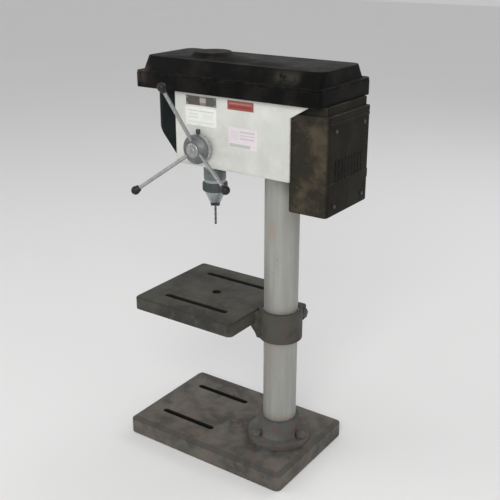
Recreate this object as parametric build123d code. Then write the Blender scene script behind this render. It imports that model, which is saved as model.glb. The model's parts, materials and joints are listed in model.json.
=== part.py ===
from build123d import *
import os
from math import acos, cos, hypot, pi, radians, sin, sqrt, tan

# Bench drill press. Millimetres, +Z up, +X the operator's right, -Y the front.
# The origin is on the column's axis, at the level of the bench.

# ---- clearances ----
RUN = 0.05            # radial gap of a shaft or sleeve that turns or slides in its bore
SEAT = 0.02           # radial gap of a piece that is pressed or clamped in place
GAP = 0.4             # gap between faces that pass each other
WALL_GAP = 0.3        # gap between pieces of different bodies that only lie near each other

# ---- sizes that set the whole machine ----
COLUMN_R = 23.0
SPINDLE_Y = -108.0    # the drill's axis, in front of the column's
TABLE_TOP = 220.0
HEAD_LOW = 418.0
HEAD_HALF_X = 55.0
STROKE = 45.0

# ---- column and base ----
COLUMN_WALL = 3.0
BASE_HALF_X = 85.8
BASE_REACH = 99.5     # from the drill's axis to the front edge
BASE_REAR_MARGIN = 10.3
BASE_H = 25.4
BASE_TOP_PLATE = 8.0
BASE_WALL = 11.0
BASE_CORNER = 8.0
BASE_BEVEL_W = 7.0
BASE_BEVEL_H = 4.5
BASE_SLOT_X = 43.0
BASE_SLOT_AHEAD = 70.0
BASE_SLOT_BEHIND = 22.0
SLOT_W = 9.0
SLOT_RIM = 6.0
FLANGE_BRIM = 16.0
FLANGE_T = 9.0
FLANGE_FLOOR = 5.0
SOCKET_WALL = 5.0
SOCKET_TOP = 60.0
BOLT_R = 4.0
BOLT_HEAD_AF = 13.0
BOLT_HEAD_H = 5.3
BOLT_DEPTH = 16.0

# ---- table ----
TABLE_HALF_X = 78.8
TABLE_REACH = 85.4
TABLE_T = 18.0
TABLE_PLATE = 8.0
TABLE_WALL = 9.0
TABLE_CORNER = 7.0
TABLE_BEVEL = 2.0
TABLE_SLOT_X = 48.0
TABLE_SLOT_HALF = 53.0
TABLE_HOLE_R = 6.5
TABLE_HOLE_BOSS_R = 15.0
COLLAR_WALL = 5.0
COLLAR_DROP = 38.0    # from the table's top to the collar's lower end
COLLAR_RISE = 4.0
LINER_T = 1.4
SPLIT_W = 3.0
EAR_OUT = 21.0
EAR_T = 8.0
EAR_HALF_H = 12.0
EAR_ROUND = 6.0
CLAMP_BOLT_R = 4.0
LEVER_HUB_R = 9.0
LEVER_HUB_T = 11.0
LEVER_LENGTH = 52.0
LEVER_ROD_R = 3.0
LEVER_KNOB_R = 6.5

# ---- head ----
HEAD_WALL = 6.0
CHEEK_T = 2.5         # the thin sides that shroud the front of the motor
CHEEK_DEPTH = 12.0
CHEEK_OVERLAP = 3.0
CHEEK_TAIL_L = 27.0   # the cheeks' top corners, which reach back under the cover
CHEEK_TAIL_H = 16.0
HEAD_SOCKET_WALL = 7.5
SET_SCREW_R = 4.0
DRIVE_BOSS_RISE = 5.0
GLAND_Y = -20.0
GLAND_R = 7.0
GLAND_HOLE_R = 3.6
SMALL_SCREW_R = 1.6
SMALL_SCREW_L = 5.0

# ---- nose ----
NOSE_DEPTH = 35.5
NOSE_WALL = 2.5
NOSE_CORNER = 14.0
NOSE_INSET = 3.0
NOSE_RAISE = 7.0      # the lower rear edge, above the head's underside
NOSE_SLOPE_H = 41.0
NOSE_SCREW_INSET = 10.5
SWITCH_HALF_X = 24.0
SWITCH_HALF_Z = 15.0
SWITCH_DROP = 22.0
SWITCH_PLATE_T = 2.0
SWITCH_DEPTH = 26.0
BUTTON_X = 11.0
BUTTON_R = 7.0
START_PROUD = 3.5
STOP_PROUD = 5.0
BUTTON_WELL = 12.0
BUTTON_STEM = 8.0

# ---- quill, spindle and chuck ----
QUILL_R = 14.5
QUILL_SHOWS = 6.0
QUILL_BORE_R = 9.0
QUILL_BOSS_WALL = 4.8
SPINDLE_R = 6.0
SPINDLE_BEARING_R = 11.0
SPINDLE_BEARING_W = 7.0
SPINDLE_NOSE_R = 8.0
SPINDLE_NOSE_H = 10.0
SPLINE_ROOT_R = 4.8
SPLINE_W = 2.6
SPLINE_TEETH = 6
CHUCK_R = 14.5
CHUCK_BODY_H = 32.0
CHUCK_RING_H = 12.0
CHUCK_RING_R = 16.8
CHUCK_NOSE_H = 16.0
CHUCK_NOSE_R = 7.5
ARBOR_LENGTH = 16.0
ARBOR_R = 7.0
JAW_R = 2.6
JAW_TILT = 10.0
JAW_SHOWS = 5.0
JAW_LENGTH = 28.0
JAW_TRAVEL = 4.0
JAW_TO_BIT = 0.1
BIT_R = 1.6
BIT_SHOWS = 28.0
BIT_HELD = 23.0
BIT_POINT_H = 1.2

# ---- feed ----
MODULE = 1.5
PINION_TEETH = 13
PRESSURE_ANGLE = 20.0
BACKLASH = 0.2
RACK_TIP = 14.2
RACK_TAIL = 9.0
PINION_HALF_W = 9.0
FEED_RAISE = 25.0     # the feed shaft's axis, above the head's underside
JOURNAL_R = 11.5
JOURNAL_START = 15.5
LEFT_JOURNAL_R = 7.0
STUB_R = 8.0
HUB_STAND_OFF = 5.0
HUB_T = 16.0
HUB_R = 18.5
HUB_BEVEL = 6.0
RING_T = 6.0
LOCK_SCREW_R = 1.8
ROD_R = 2.4
ROD_START = 12.0
ROD_COUNT = 3
FIRST_ROD_ANGLE = -39.7
KNOB_OUT = 57.3       # a knob's middle, from the head's side
KNOB_CENTRE_R = 83.0
KNOB_R = 5.6
KNOB_LENGTH = 13.0
CAP_R = 24.0
CAP_DEPTH = 16.0
CAP_WALL = 2.0
SPRING_TURNS = 5
SPRING_T = 0.7

# ---- drive ----
SLEEVE_R = 8.5
DRIVE_BEARING_R = 16.0
DRIVE_BEARING_W = 9.0
BEARING_SPREAD = 12.5
STEP_H = 8.0
SPINDLE_STEPS = (22.0, 26.0, 30.0)
MOTOR_STEPS = (21.0, 17.0, 13.0)
BELT_STEP = 1
GROOVE_DEPTH = 5.0
BELT_T = 4.0
BELT_W = 4.4
PULLEY_NUT_AF = 24.0
PULLEY_NUT_H = 4.6

# ---- belt cover ----
COVER_SIDE = 7.0      # how far the cover stands out past the head's sides
COVER_AHEAD = 25.0
COVER_CORNER = 8.0
COVER_WALL = 2.4
PAN_H = 18.0
LID_H = 20.0
LID_SIDE_LEAN = 11.0   # how far the lid's top lies inside its lower edge
LID_END_LEAN = 1.5
LID_SET_BACK = 5.0
LID_CORNER = 11.0
LID_RIM_BACK = 0.6
LID_RIM_T = 2.2
HUMP_R = 31.0
HUMP_H = 5.5
HUMP_DRAFT = 50.0
HINGE_OUT = 3.6
HINGE_Y = (-120.0, 20.0)
KNUCKLE_R = 3.2
HINGE_PIN_R = 1.5
KNUCKLE_HALF = 4.0

# ---- motor ----
MOTOR_DEPTH = 53.0
MOTOR_H = 120.0
MOTOR_TOP_PLATE = 6.0
MOTOR_SIDE_GAP = 0.9
MOTOR_DROP = 11.0     # the motor's top, below the head's
MOTOR_WALL = 2.5
MOTOR_CORNER = 6.0
MOTOR_NECK_IN = 4.0    # the raised middle of the top plate, inside the motor's outline
MOTOR_FRONT_CORNER = 3.0
MOTOR_SHAFT_BACK = 21.5
MOTOR_SHAFT_R = 5.0
MOTOR_SLIDE = 8.0
COVER_SHORT = 6.5     # how far the motor's back stands out past the cover
ROTOR_R = 12.5
STATOR_HALF_Y = 15.0
STATOR_RAISE = 35.0
STATOR_H = 50.0
AIR_GAP = 0.4
COIL_IN = 11.6
COIL_R = 9.0
MOTOR_BEARING_R = 11.0
MOTOR_BEARING_W = 7.0
FAN_R = 14.0
BAR_IN = 14.0
BAR_RAISE = 34.0
BAR_R = 5.0
BAR_BOSS_R = 8.5
BAR_INNER = -18.0
TENSION_Y = 8.0
TENSION_KNOB_R = 11.0

# ---- worked out from the sizes above ----
SOCKET_R = COLUMN_R + SOCKET_WALL
FLANGE_R = SOCKET_R + FLANGE_BRIM
FLANGE_BOLT_PCD = SOCKET_R + FLANGE_R
BASE_FRONT = SPINDLE_Y - BASE_REACH
BASE_REAR = FLANGE_R + BASE_REAR_MARGIN
BASE_SLOT_FRONT = SPINDLE_Y - BASE_SLOT_AHEAD
BASE_SLOT_REAR = SPINDLE_Y + BASE_SLOT_BEHIND
LINER_R = COLUMN_R + RUN + LINER_T
COLLAR_R = LINER_R + RUN + COLLAR_WALL
COLLAR_LOW = TABLE_TOP - COLLAR_DROP
COLLAR_HIGH = TABLE_TOP + COLLAR_RISE
NECK_HALF_X = COLUMN_R
TABLE_FRONT = SPINDLE_Y - TABLE_REACH
TABLE_REAR = -COLLAR_R + 2
TABLE_SLOT_FRONT = SPINDLE_Y - TABLE_SLOT_HALF
TABLE_SLOT_REAR = SPINDLE_Y + TABLE_SLOT_HALF

PITCH_R = MODULE * PINION_TEETH / 2
RACK_PITCH = RACK_TIP - MODULE
FEED_Y = SPINDLE_Y + RACK_PITCH + PITCH_R
FEED_Z = HEAD_LOW + FEED_RAISE
RACK_LOW = FEED_Z - RACK_TAIL
QUILL_LOW = HEAD_LOW - QUILL_SHOWS
QUILL_TOP = FEED_Z + STROKE + MODULE + 2.5
QUILL_BOSS_R = QUILL_R + QUILL_BOSS_WALL
CHUCK_TOP = QUILL_LOW - SPINDLE_NOSE_H
CHUCK_RING_LOW = CHUCK_TOP - CHUCK_BODY_H
CHUCK_RING_TOP = CHUCK_RING_LOW + CHUCK_RING_H
CHUCK_NOSE_LOW = CHUCK_RING_LOW - CHUCK_NOSE_H
JAW_LOW = CHUCK_NOSE_LOW - JAW_SHOWS
BIT_TIP = JAW_LOW - BIT_SHOWS
BIT_TOP = JAW_LOW + BIT_HELD

DRIVE_BOSS_TOP = QUILL_TOP + 2 + BEARING_SPREAD + DRIVE_BEARING_W + 0.5
HEAD_TOP = DRIVE_BOSS_TOP - DRIVE_BOSS_RISE
HEAD_FRONT = SPINDLE_Y - QUILL_BOSS_R - 0.2
HEAD_SOCKET_R = COLUMN_R + HEAD_SOCKET_WALL
HEAD_REAR = HEAD_SOCKET_R + 1
CHEEK_REAR = HEAD_REAR + CHEEK_DEPTH
COLUMN_TOP = HEAD_TOP - 10
SET_SCREW_Z = (HEAD_LOW + 12.5, HEAD_TOP - 16)
GLAND_Z = HEAD_LOW + 16
NOSE_HALF_X = HEAD_HALF_X - NOSE_INSET
NOSE_FRONT = HEAD_FRONT - NOSE_DEPTH
NOSE_LOW_REAR = HEAD_LOW + NOSE_RAISE
NOSE_LOW_FRONT = NOSE_LOW_REAR + NOSE_SLOPE_H
SWITCH_Z = HEAD_TOP - SWITCH_DROP
HUB_INNER = HEAD_HALF_X + HUB_STAND_OFF
HUB_OUTER = HUB_INNER + HUB_T
HUB_MIDDLE = (HUB_INNER + HUB_OUTER) / 2 - 1
KNOB_CENTRE_X = HEAD_HALF_X + KNOB_OUT

PULLEY_LOW = DRIVE_BOSS_TOP + 1
PULLEY_TOP = PULLEY_LOW + STEP_H * len(SPINDLE_STEPS)
SLEEVE_TOP = PULLEY_TOP + PULLEY_NUT_H + GAP
SPINDLE_TOP = SLEEVE_TOP + 3
MOTOR_SHAFT_TOP = PULLEY_TOP + 2
COVER_HALF_X = HEAD_HALF_X + COVER_SIDE
COVER_FRONT = NOSE_FRONT - COVER_AHEAD
PAN_FLOOR = HEAD_TOP + COVER_WALL
SEAM_Z = HEAD_TOP + PAN_H
LID_TOP = SEAM_Z + LID_H
HUMP_TOP = LID_TOP + HUMP_H
HINGE_X = -COVER_HALF_X - HINGE_OUT

MOTOR_HALF_X = HEAD_HALF_X - CHEEK_T - MOTOR_SIDE_GAP
MOTOR_FRONT = CHEEK_REAR - CHEEK_OVERLAP
MOTOR_REAR = MOTOR_FRONT + MOTOR_DEPTH
MOTOR_TOP = HEAD_TOP - MOTOR_DROP
MOTOR_SEAM = MOTOR_TOP - MOTOR_TOP_PLATE
MOTOR_LOW = MOTOR_TOP - MOTOR_H
MOTOR_SHAFT_Y = MOTOR_FRONT + MOTOR_SHAFT_BACK
COVER_REAR = MOTOR_REAR - COVER_SHORT
STATOR_LOW = MOTOR_LOW + STATOR_RAISE
STATOR_HIGH = STATOR_LOW + STATOR_H
COIL_X = MOTOR_HALF_X - COIL_IN
BAR_X = HEAD_HALF_X - BAR_IN
BAR_Z = HEAD_LOW + BAR_RAISE
LABEL_FRONT = HEAD_FRONT + 18
LABEL_REAR = HEAD_FRONT + 82


def block(x0, x1, y0, y1, z0, z1):
    return Pos((x0 + x1) / 2, (y0 + y1) / 2, (z0 + z1) / 2) * Box(x1 - x0, y1 - y0, z1 - z0)


def slab(x0, x1, y0, y1, z0, z1, corner, draft=0.0):
    """A plate with round corners, whose sides may lean inwards."""
    face = Pos((x0 + x1) / 2, (y0 + y1) / 2, z0) * RectangleRounded(x1 - x0, y1 - y0, corner)
    return extrude(face, z1 - z0, taper=draft)


def disc(x, y, z0, z1, r):
    return Pos(x, y, (z0 + z1) / 2) * Cylinder(r, z1 - z0)


def cone(x, y, z0, z1, r0, r1):
    return Pos(x, y, (z0 + z1) / 2) * Cone(r0, r1, z1 - z0)


def disc_x(y, z, x0, x1, r):
    return Pos((x0 + x1) / 2, y, z) * Rot(0, 90, 0) * Cylinder(r, x1 - x0)


def disc_y(x, z, y0, y1, r):
    return Pos(x, (y0 + y1) / 2, z) * Rot(90, 0, 0) * Cylinder(r, y1 - y0)


def hexagon(x, y, z0, z1, across_flats):
    return extrude(Pos(x, y, z0) * RegularPolygon(across_flats / 2, 6, major_radius=False), z1 - z0)


def side_profile(points, x0, x1):
    """An outline of (y, z) points, made thick from x0 to x1."""
    face = make_face(Polyline([(x0, y, z) for y, z in points], close=True))
    return extrude(face, x1 - x0, dir=(1, 0, 0))


def slots(half_x, front, rear, z0, z1, width):
    """Two long slots with round ends, running front to back."""
    left, right = [slab(x - width / 2, x + width / 2, front, rear, z0, z1, width / 2 - 0.01)
                   for x in (-half_x, half_x)]
    return left + right


def bolt_places():
    return [(FLANGE_BOLT_PCD / 2 * cos(radians(a)), FLANGE_BOLT_PCD / 2 * sin(radians(a)))
            for a in (90, 210, 330)]


def base():
    top = slab(-BASE_HALF_X, BASE_HALF_X, BASE_FRONT, BASE_REAR, 0, BASE_H, BASE_CORNER)
    top = chamfer(top.faces().sort_by(Axis.Z)[-1].edges(), BASE_BEVEL_H, BASE_BEVEL_W)
    inner = slab(-BASE_HALF_X + BASE_WALL, BASE_HALF_X - BASE_WALL, BASE_FRONT + BASE_WALL,
                 BASE_REAR - BASE_WALL, -1, BASE_H - BASE_TOP_PLATE, BASE_CORNER / 2)
    boss = disc(0, 0, -1, BASE_H, FLANGE_R)
    rims = slots(BASE_SLOT_X, BASE_SLOT_FRONT - SLOT_RIM, BASE_SLOT_REAR + SLOT_RIM, -1, BASE_H,
                 SLOT_W + 2 * SLOT_RIM)
    body = top - (inner - boss - rims)
    body -= slots(BASE_SLOT_X, BASE_SLOT_FRONT, BASE_SLOT_REAR, -1, BASE_H + 1, SLOT_W)
    for x, y in bolt_places():
        body -= disc(x, y, BASE_H - BOLT_DEPTH, BASE_H + 1, BOLT_R + SEAT)
    return body


def column_flange():
    body = disc(0, 0, BASE_H, BASE_H + FLANGE_T, FLANGE_R)
    body += cone(0, 0, BASE_H + FLANGE_T, BASE_H + 2 * FLANGE_T, SOCKET_R + 4, SOCKET_R)
    body += disc(0, 0, BASE_H, SOCKET_TOP, SOCKET_R)
    body -= disc(0, 0, BASE_H + FLANGE_FLOOR, SOCKET_TOP + 1, COLUMN_R + SEAT)
    for x, y in bolt_places():
        body -= disc(x, y, BASE_H - 1, BASE_H + FLANGE_T + 1, BOLT_R + GAP)
        body -= disc(x, y, BASE_H + FLANGE_T, SOCKET_TOP, BOLT_HEAD_AF / 2 + 2)
    return body


def flange_bolts():
    seat = BASE_H + FLANGE_T
    return [disc(x, y, seat - BOLT_DEPTH, seat, BOLT_R)
            + hexagon(x, y, seat, seat + BOLT_HEAD_H, BOLT_HEAD_AF) for x, y in bolt_places()]


def column():
    low = BASE_H + FLANGE_FLOOR
    bore = disc(0, 0, low - 1, COLUMN_TOP + 1, COLUMN_R - COLUMN_WALL)
    return disc(0, 0, low, COLUMN_TOP, COLUMN_R) - bore


def column_split(outer, z0, z1):
    """The saw cut on the left that lets a collar close on the column."""
    return block(-outer - 1, 0, -SPLIT_W / 2, SPLIT_W / 2, z0 - 1, z1 + 1)


def table_liner():
    low, high = COLLAR_LOW + 2, COLLAR_HIGH - 2
    body = disc(0, 0, low, high, LINER_R) - disc(0, 0, low - 1, high + 1, COLUMN_R + RUN)
    return body - column_split(LINER_R, low, high)


def clamp_axis():
    """Where the clamp bolt crosses the collar's ears: x and z."""
    return -COLLAR_R - EAR_OUT / 2, (COLLAR_LOW + COLLAR_HIGH) / 2


def table():
    low = TABLE_TOP - TABLE_T
    plate = slab(-TABLE_HALF_X, TABLE_HALF_X, TABLE_FRONT, TABLE_REAR, low, TABLE_TOP, TABLE_CORNER)
    plate = chamfer(plate.faces().sort_by(Axis.Z)[-1].edges(), TABLE_BEVEL)
    inner = slab(-TABLE_HALF_X + TABLE_WALL, TABLE_HALF_X - TABLE_WALL, TABLE_FRONT + TABLE_WALL,
                 TABLE_REAR - TABLE_WALL, low - 1, TABLE_TOP - TABLE_PLATE, TABLE_CORNER / 2)
    inner -= disc(0, SPINDLE_Y, low - 2, TABLE_TOP, TABLE_HOLE_BOSS_R)
    inner -= slots(TABLE_SLOT_X, TABLE_SLOT_FRONT - SLOT_RIM, TABLE_SLOT_REAR + SLOT_RIM, low - 2,
                   TABLE_TOP, SLOT_W + 2 * SLOT_RIM)
    body = plate - inner
    neck_front = TABLE_REAR - TABLE_WALL - 20
    body += side_profile([(neck_front, TABLE_TOP - TABLE_BEVEL), (neck_front, low),
                          (TABLE_REAR - TABLE_WALL, low - 2), (-COLLAR_R + 3, COLLAR_LOW + 6),
                          (-COLLAR_R + 6, COLLAR_LOW), (0, COLLAR_LOW), (0, TABLE_TOP - TABLE_BEVEL)],
                         -NECK_HALF_X, NECK_HALF_X)
    body += disc(0, 0, COLLAR_LOW, COLLAR_HIGH, COLLAR_R)
    ear_x, ear_z = clamp_axis()
    ears = block(-COLLAR_R - EAR_OUT, 0, -SPLIT_W / 2 - EAR_T, SPLIT_W / 2 + EAR_T, ear_z - EAR_HALF_H,
                 ear_z + EAR_HALF_H)
    body += fillet(ears.edges().filter_by(Axis.Y).group_by(Axis.X)[0], EAR_ROUND)
    body -= disc(0, 0, COLLAR_LOW - 1, COLLAR_HIGH + 1, LINER_R + RUN)
    body -= column_split(COLLAR_R + EAR_OUT, COLLAR_LOW, COLLAR_HIGH)
    body -= disc_y(ear_x, ear_z, -EAR_T - 5, EAR_T + 5, CLAMP_BOLT_R + SEAT)
    body -= slots(TABLE_SLOT_X, TABLE_SLOT_FRONT, TABLE_SLOT_REAR, low - 1, TABLE_TOP + 1, SLOT_W)
    body -= disc(0, SPINDLE_Y, low - 1, TABLE_TOP + 1, TABLE_HOLE_R)
    return body


def clamp_bolt():
    x, z = clamp_axis()
    rear = SPLIT_W / 2 + EAR_T
    head = Pos(x, rear, z) * Rot(-90, 0, 0) * hexagon(0, 0, 0, BOLT_HEAD_H, BOLT_HEAD_AF)
    return head + disc_y(x, z, -rear - LEVER_HUB_T - 3, rear, CLAMP_BOLT_R)


def clamp_lever():
    x, z = clamp_axis()
    near = -SPLIT_W / 2 - EAR_T - GAP
    mid = near - LEVER_HUB_T / 2
    body = disc_y(x, z, near - LEVER_HUB_T, near, LEVER_HUB_R)
    body += disc(x, mid, z - LEVER_LENGTH, z, LEVER_ROD_R)
    return body - disc_y(x, z, near - LEVER_HUB_T - 1, near + 1, CLAMP_BOLT_R + RUN)


def clamp_lever_knob():
    x, z = clamp_axis()
    mid = -SPLIT_W / 2 - EAR_T - GAP - LEVER_HUB_T / 2
    body = Pos(x, mid, z - LEVER_LENGTH) * Sphere(LEVER_KNOB_R)
    return body - disc(x, mid, z - LEVER_LENGTH, z, LEVER_ROD_R + SEAT)


def head_casting():
    body = block(-HEAD_HALF_X, HEAD_HALF_X, HEAD_FRONT, CHEEK_REAR, HEAD_LOW, HEAD_TOP)
    wall = HEAD_WALL
    body -= block(-HEAD_HALF_X + CHEEK_T, HEAD_HALF_X - CHEEK_T, HEAD_REAR, CHEEK_REAR + 1, HEAD_LOW - 1,
                  HEAD_TOP + 1)
    body -= block(-HEAD_HALF_X + wall, HEAD_HALF_X - wall, HEAD_FRONT + wall, HEAD_REAR - wall,
                  HEAD_LOW + wall, HEAD_TOP + 1)
    tail = [(CHEEK_REAR - 1, HEAD_TOP), (CHEEK_REAR + CHEEK_TAIL_L, HEAD_TOP),
            (CHEEK_REAR, HEAD_TOP - CHEEK_TAIL_H), (CHEEK_REAR - 1, HEAD_TOP - CHEEK_TAIL_H)]
    body += side_profile(tail, HEAD_HALF_X - CHEEK_T, HEAD_HALF_X)
    body += side_profile(tail, -HEAD_HALF_X, -HEAD_HALF_X + CHEEK_T)
    bosses = disc(0, SPINDLE_Y, HEAD_LOW, DRIVE_BOSS_TOP, QUILL_BOSS_R)
    bosses += disc(0, 0, HEAD_LOW, HEAD_TOP, HEAD_SOCKET_R)
    bosses += disc_x(FEED_Y, FEED_Z, 0, HEAD_HALF_X, JOURNAL_R + 4)
    bosses += disc_x(FEED_Y, FEED_Z, -HEAD_HALF_X, 0, LEFT_JOURNAL_R + 4)
    for side in (-1, 1):
        bosses += disc_y(side * BAR_X, BAR_Z, BAR_INNER - MOTOR_SLIDE - 4, HEAD_REAR, BAR_BOSS_R)
    for z in SET_SCREW_Z:
        bosses += disc_x(0, z, -HEAD_HALF_X, 0, SET_SCREW_R + 4)
    body += bosses
    body -= disc(0, SPINDLE_Y, HEAD_LOW - 1, QUILL_TOP + 1.6, QUILL_R + RUN)
    body -= disc(0, SPINDLE_Y, QUILL_TOP + 1.6, DRIVE_BOSS_TOP + 1, DRIVE_BEARING_R + SEAT)
    body -= disc(0, 0, HEAD_LOW - 1, COLUMN_TOP + 1, COLUMN_R + SEAT)
    body -= disc_x(FEED_Y, FEED_Z, JOURNAL_START - 0.5, HEAD_HALF_X + 1, JOURNAL_R + RUN)
    body -= disc_x(FEED_Y, FEED_Z, -HEAD_HALF_X - 1, 0, LEFT_JOURNAL_R + RUN)
    body -= disc_x(FEED_Y, FEED_Z, -PINION_HALF_W - 2, JOURNAL_START, PITCH_R + MODULE + 0.8)
    for side in (-1, 1):
        body -= disc_y(side * BAR_X, BAR_Z, BAR_INNER - MOTOR_SLIDE - 2, HEAD_REAR + 1, BAR_R + RUN)
    for z in SET_SCREW_Z:
        body -= disc_x(0, z, -HEAD_HALF_X - 1, -COLUMN_R, SET_SCREW_R + SEAT)
    body -= disc_x(TENSION_Y, BAR_Z, -HEAD_HALF_X - 1, -BAR_X, SET_SCREW_R - 1 + RUN)
    body -= disc_x(GLAND_Y, GLAND_Z, -HEAD_HALF_X - 1, -HEAD_HALF_X + wall + 1, GLAND_R + SEAT)
    for x, z in nose_screw_places():
        body -= disc_y(x, z, HEAD_FRONT - 1, HEAD_FRONT + SMALL_SCREW_L, SMALL_SCREW_R + SEAT)
    for x, y in pan_screw_places():
        body -= disc(x, y, HEAD_TOP - SMALL_SCREW_L, HEAD_TOP + 1, SMALL_SCREW_R + SEAT)
    return body


def head_set_screws():
    """Two screws that lock the head on the column, with a hexagon socket in each."""
    made = []
    for z in SET_SCREW_Z:
        body = disc_x(0, z, -HEAD_HALF_X, -COLUMN_R - SEAT, SET_SCREW_R)
        made.append(body - Pos(-HEAD_HALF_X, 0, z) * Rot(0, 90, 0) * hexagon(0, 0, -1, 4, SET_SCREW_R))
    return made


def nose_screw_places():
    heights = (NOSE_LOW_REAR + 15, HEAD_TOP - 8)
    return [(side * (HEAD_HALF_X - NOSE_SCREW_INSET), z) for side in (-1, 1) for z in heights]


def nose_solid(inset):
    """The nose's full shape, smaller all round by inset but open at its back."""
    rear = HEAD_FRONT if inset == 0 else HEAD_FRONT + 1
    drop = inset * 1.3
    side = side_profile([(rear, HEAD_TOP - inset), (NOSE_FRONT + inset, HEAD_TOP - inset),
                         (NOSE_FRONT + inset, NOSE_LOW_FRONT + drop), (rear, NOSE_LOW_REAR + drop)],
                        -NOSE_HALF_X, NOSE_HALF_X)
    plan = slab(-NOSE_HALF_X + inset, NOSE_HALF_X - inset, NOSE_FRONT + inset, HEAD_FRONT + 40,
                NOSE_LOW_REAR - 5, HEAD_TOP + 5, NOSE_CORNER - inset)
    return side & plan


def front_cover():
    body = nose_solid(0) - nose_solid(NOSE_WALL)
    for x, z in nose_screw_places():
        ends = sorted((x - 4.5 if x > 0 else x + 4.5, x + 6.5 if x > 0 else x - 6.5))
        body += block(ends[0], ends[1], HEAD_FRONT - 3, HEAD_FRONT, z - 5, z + 5)
        body -= disc_y(x, z, HEAD_FRONT - 4, HEAD_FRONT + 1, SMALL_SCREW_R + SEAT)
    z0, z1 = SWITCH_Z - SWITCH_HALF_Z + 4, SWITCH_Z + SWITCH_HALF_Z - 4
    return body - block(-SWITCH_HALF_X + 4, SWITCH_HALF_X - 4, NOSE_FRONT - 1, NOSE_FRONT + NOSE_WALL + 1,
                        z0, z1)


def front_cover_screws():
    return [disc_y(x, z, HEAD_FRONT - 3, HEAD_FRONT + SMALL_SCREW_L, SMALL_SCREW_R)
            + disc_y(x, z, HEAD_FRONT - 5, HEAD_FRONT - 3, SMALL_SCREW_R * 2)
            for x, z in nose_screw_places()]


def switch_plate():
    z0, z1 = SWITCH_Z - SWITCH_HALF_Z, SWITCH_Z + SWITCH_HALF_Z
    body = block(-SWITCH_HALF_X, SWITCH_HALF_X, NOSE_FRONT - SWITCH_PLATE_T, NOSE_FRONT, z0, z1)
    body = fillet(body.edges().filter_by(Axis.Y), 4)
    for side in (-1, 1):
        body -= disc_y(side * BUTTON_X, SWITCH_Z, NOSE_FRONT - 5, NOSE_FRONT + 1, BUTTON_R + WALL_GAP)
    return body


def switch_body():
    """The switch behind the plate, with a well for each button."""
    z0, z1 = SWITCH_Z - SWITCH_HALF_Z + 4 + GAP, SWITCH_Z + SWITCH_HALF_Z - 4 - GAP
    body = block(-SWITCH_HALF_X + 4 + GAP, SWITCH_HALF_X - 4 - GAP, NOSE_FRONT, NOSE_FRONT + SWITCH_DEPTH,
                 z0, z1)
    for side in (-1, 1):
        body -= disc_y(side * BUTTON_X, SWITCH_Z, NOSE_FRONT - 1, NOSE_FRONT + BUTTON_WELL,
                       BUTTON_R + WALL_GAP)
    return body


def button(x, proud):
    body = disc_y(x, SWITCH_Z, NOSE_FRONT - SWITCH_PLATE_T - proud, NOSE_FRONT + BUTTON_STEM,
                  BUTTON_R)
    return chamfer(body.faces().sort_by(Axis.Y)[0].edges(), 0.8)


def label(y0, y1, z0, z1):
    return block(HEAD_HALF_X, HEAD_HALF_X + 0.4, y0, y1, z0, z1)


def cable_gland():
    body = disc_x(GLAND_Y, GLAND_Z, -HEAD_HALF_X - 9, -HEAD_HALF_X + HEAD_WALL, GLAND_R)
    body += disc_x(GLAND_Y, GLAND_Z, -HEAD_HALF_X - 3, -HEAD_HALF_X, GLAND_R + 2.5)
    return body - disc_x(GLAND_Y, GLAND_Z, -HEAD_HALF_X - 10, -HEAD_HALF_X + HEAD_WALL + 1, GLAND_HOLE_R)


def quill():
    body = disc(0, SPINDLE_Y, QUILL_LOW, QUILL_TOP, QUILL_R)
    body -= disc(0, SPINDLE_Y, QUILL_LOW - 1, QUILL_TOP + 1, QUILL_BORE_R)
    for z in spindle_bearing_places():
        body -= disc(0, SPINDLE_Y, z, z + SPINDLE_BEARING_W, SPINDLE_BEARING_R + SEAT)
    body -= disc(0, SPINDLE_Y, QUILL_LOW - 1, QUILL_LOW + 1.01, SPINDLE_BEARING_R)
    body -= disc(0, SPINDLE_Y, QUILL_TOP - 2.01, QUILL_TOP + 1, SPINDLE_BEARING_R)
    body -= block(-QUILL_R, QUILL_R, SPINDLE_Y + RACK_TIP, SPINDLE_Y + QUILL_R + 1, RACK_LOW, QUILL_TOP + 1)
    for z in rack_gaps():
        body -= rack_gap(z)
    return body


def rack_gaps():
    """Heights of the gaps' middles: one faces the pinion's middle tooth at rest."""
    pitch = pi * MODULE
    first = -int((FEED_Z - RACK_LOW) / pitch)
    last = int((QUILL_TOP + MODULE - FEED_Z) / pitch)
    return [FEED_Z + i * pitch for i in range(first, last + 1)]


def rack_gap(z):
    lean = tan(radians(PRESSURE_ANGLE))
    half = pi * MODULE / 4 + BACKLASH / 4
    tip, root = RACK_TIP + 1, RACK_PITCH - 1.25 * MODULE
    wide = half + (tip - RACK_PITCH) * lean
    narrow = half - (RACK_PITCH - root) * lean
    y = SPINDLE_Y
    return side_profile([(y + root, z - narrow), (y + root, z + narrow), (y + tip, z + wide),
                         (y + tip, z - wide)], -QUILL_R, QUILL_R)


def spindle_bearing_places():
    return (QUILL_LOW + 1, QUILL_TOP - SPINDLE_BEARING_W - 2)


def bearing(x, y, z, width, outer, bore):
    """A ball bearing as one closed ring with a shallow seal groove on each face."""
    body = disc(x, y, z, z + width, outer) - disc(x, y, z - 1, z + width + 1, bore)
    land = (outer - bore) / 4
    groove = disc(x, y, z - 1, z + 0.6, outer - land) - disc(x, y, z - 2, z + 1, bore + land)
    body -= groove
    return body - Pos(0, 0, width + 0.4) * groove


def spindle_bearings():
    return [bearing(0, SPINDLE_Y, z, SPINDLE_BEARING_W, SPINDLE_BEARING_R, SPINDLE_R + RUN)
            for z in spindle_bearing_places()]


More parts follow.
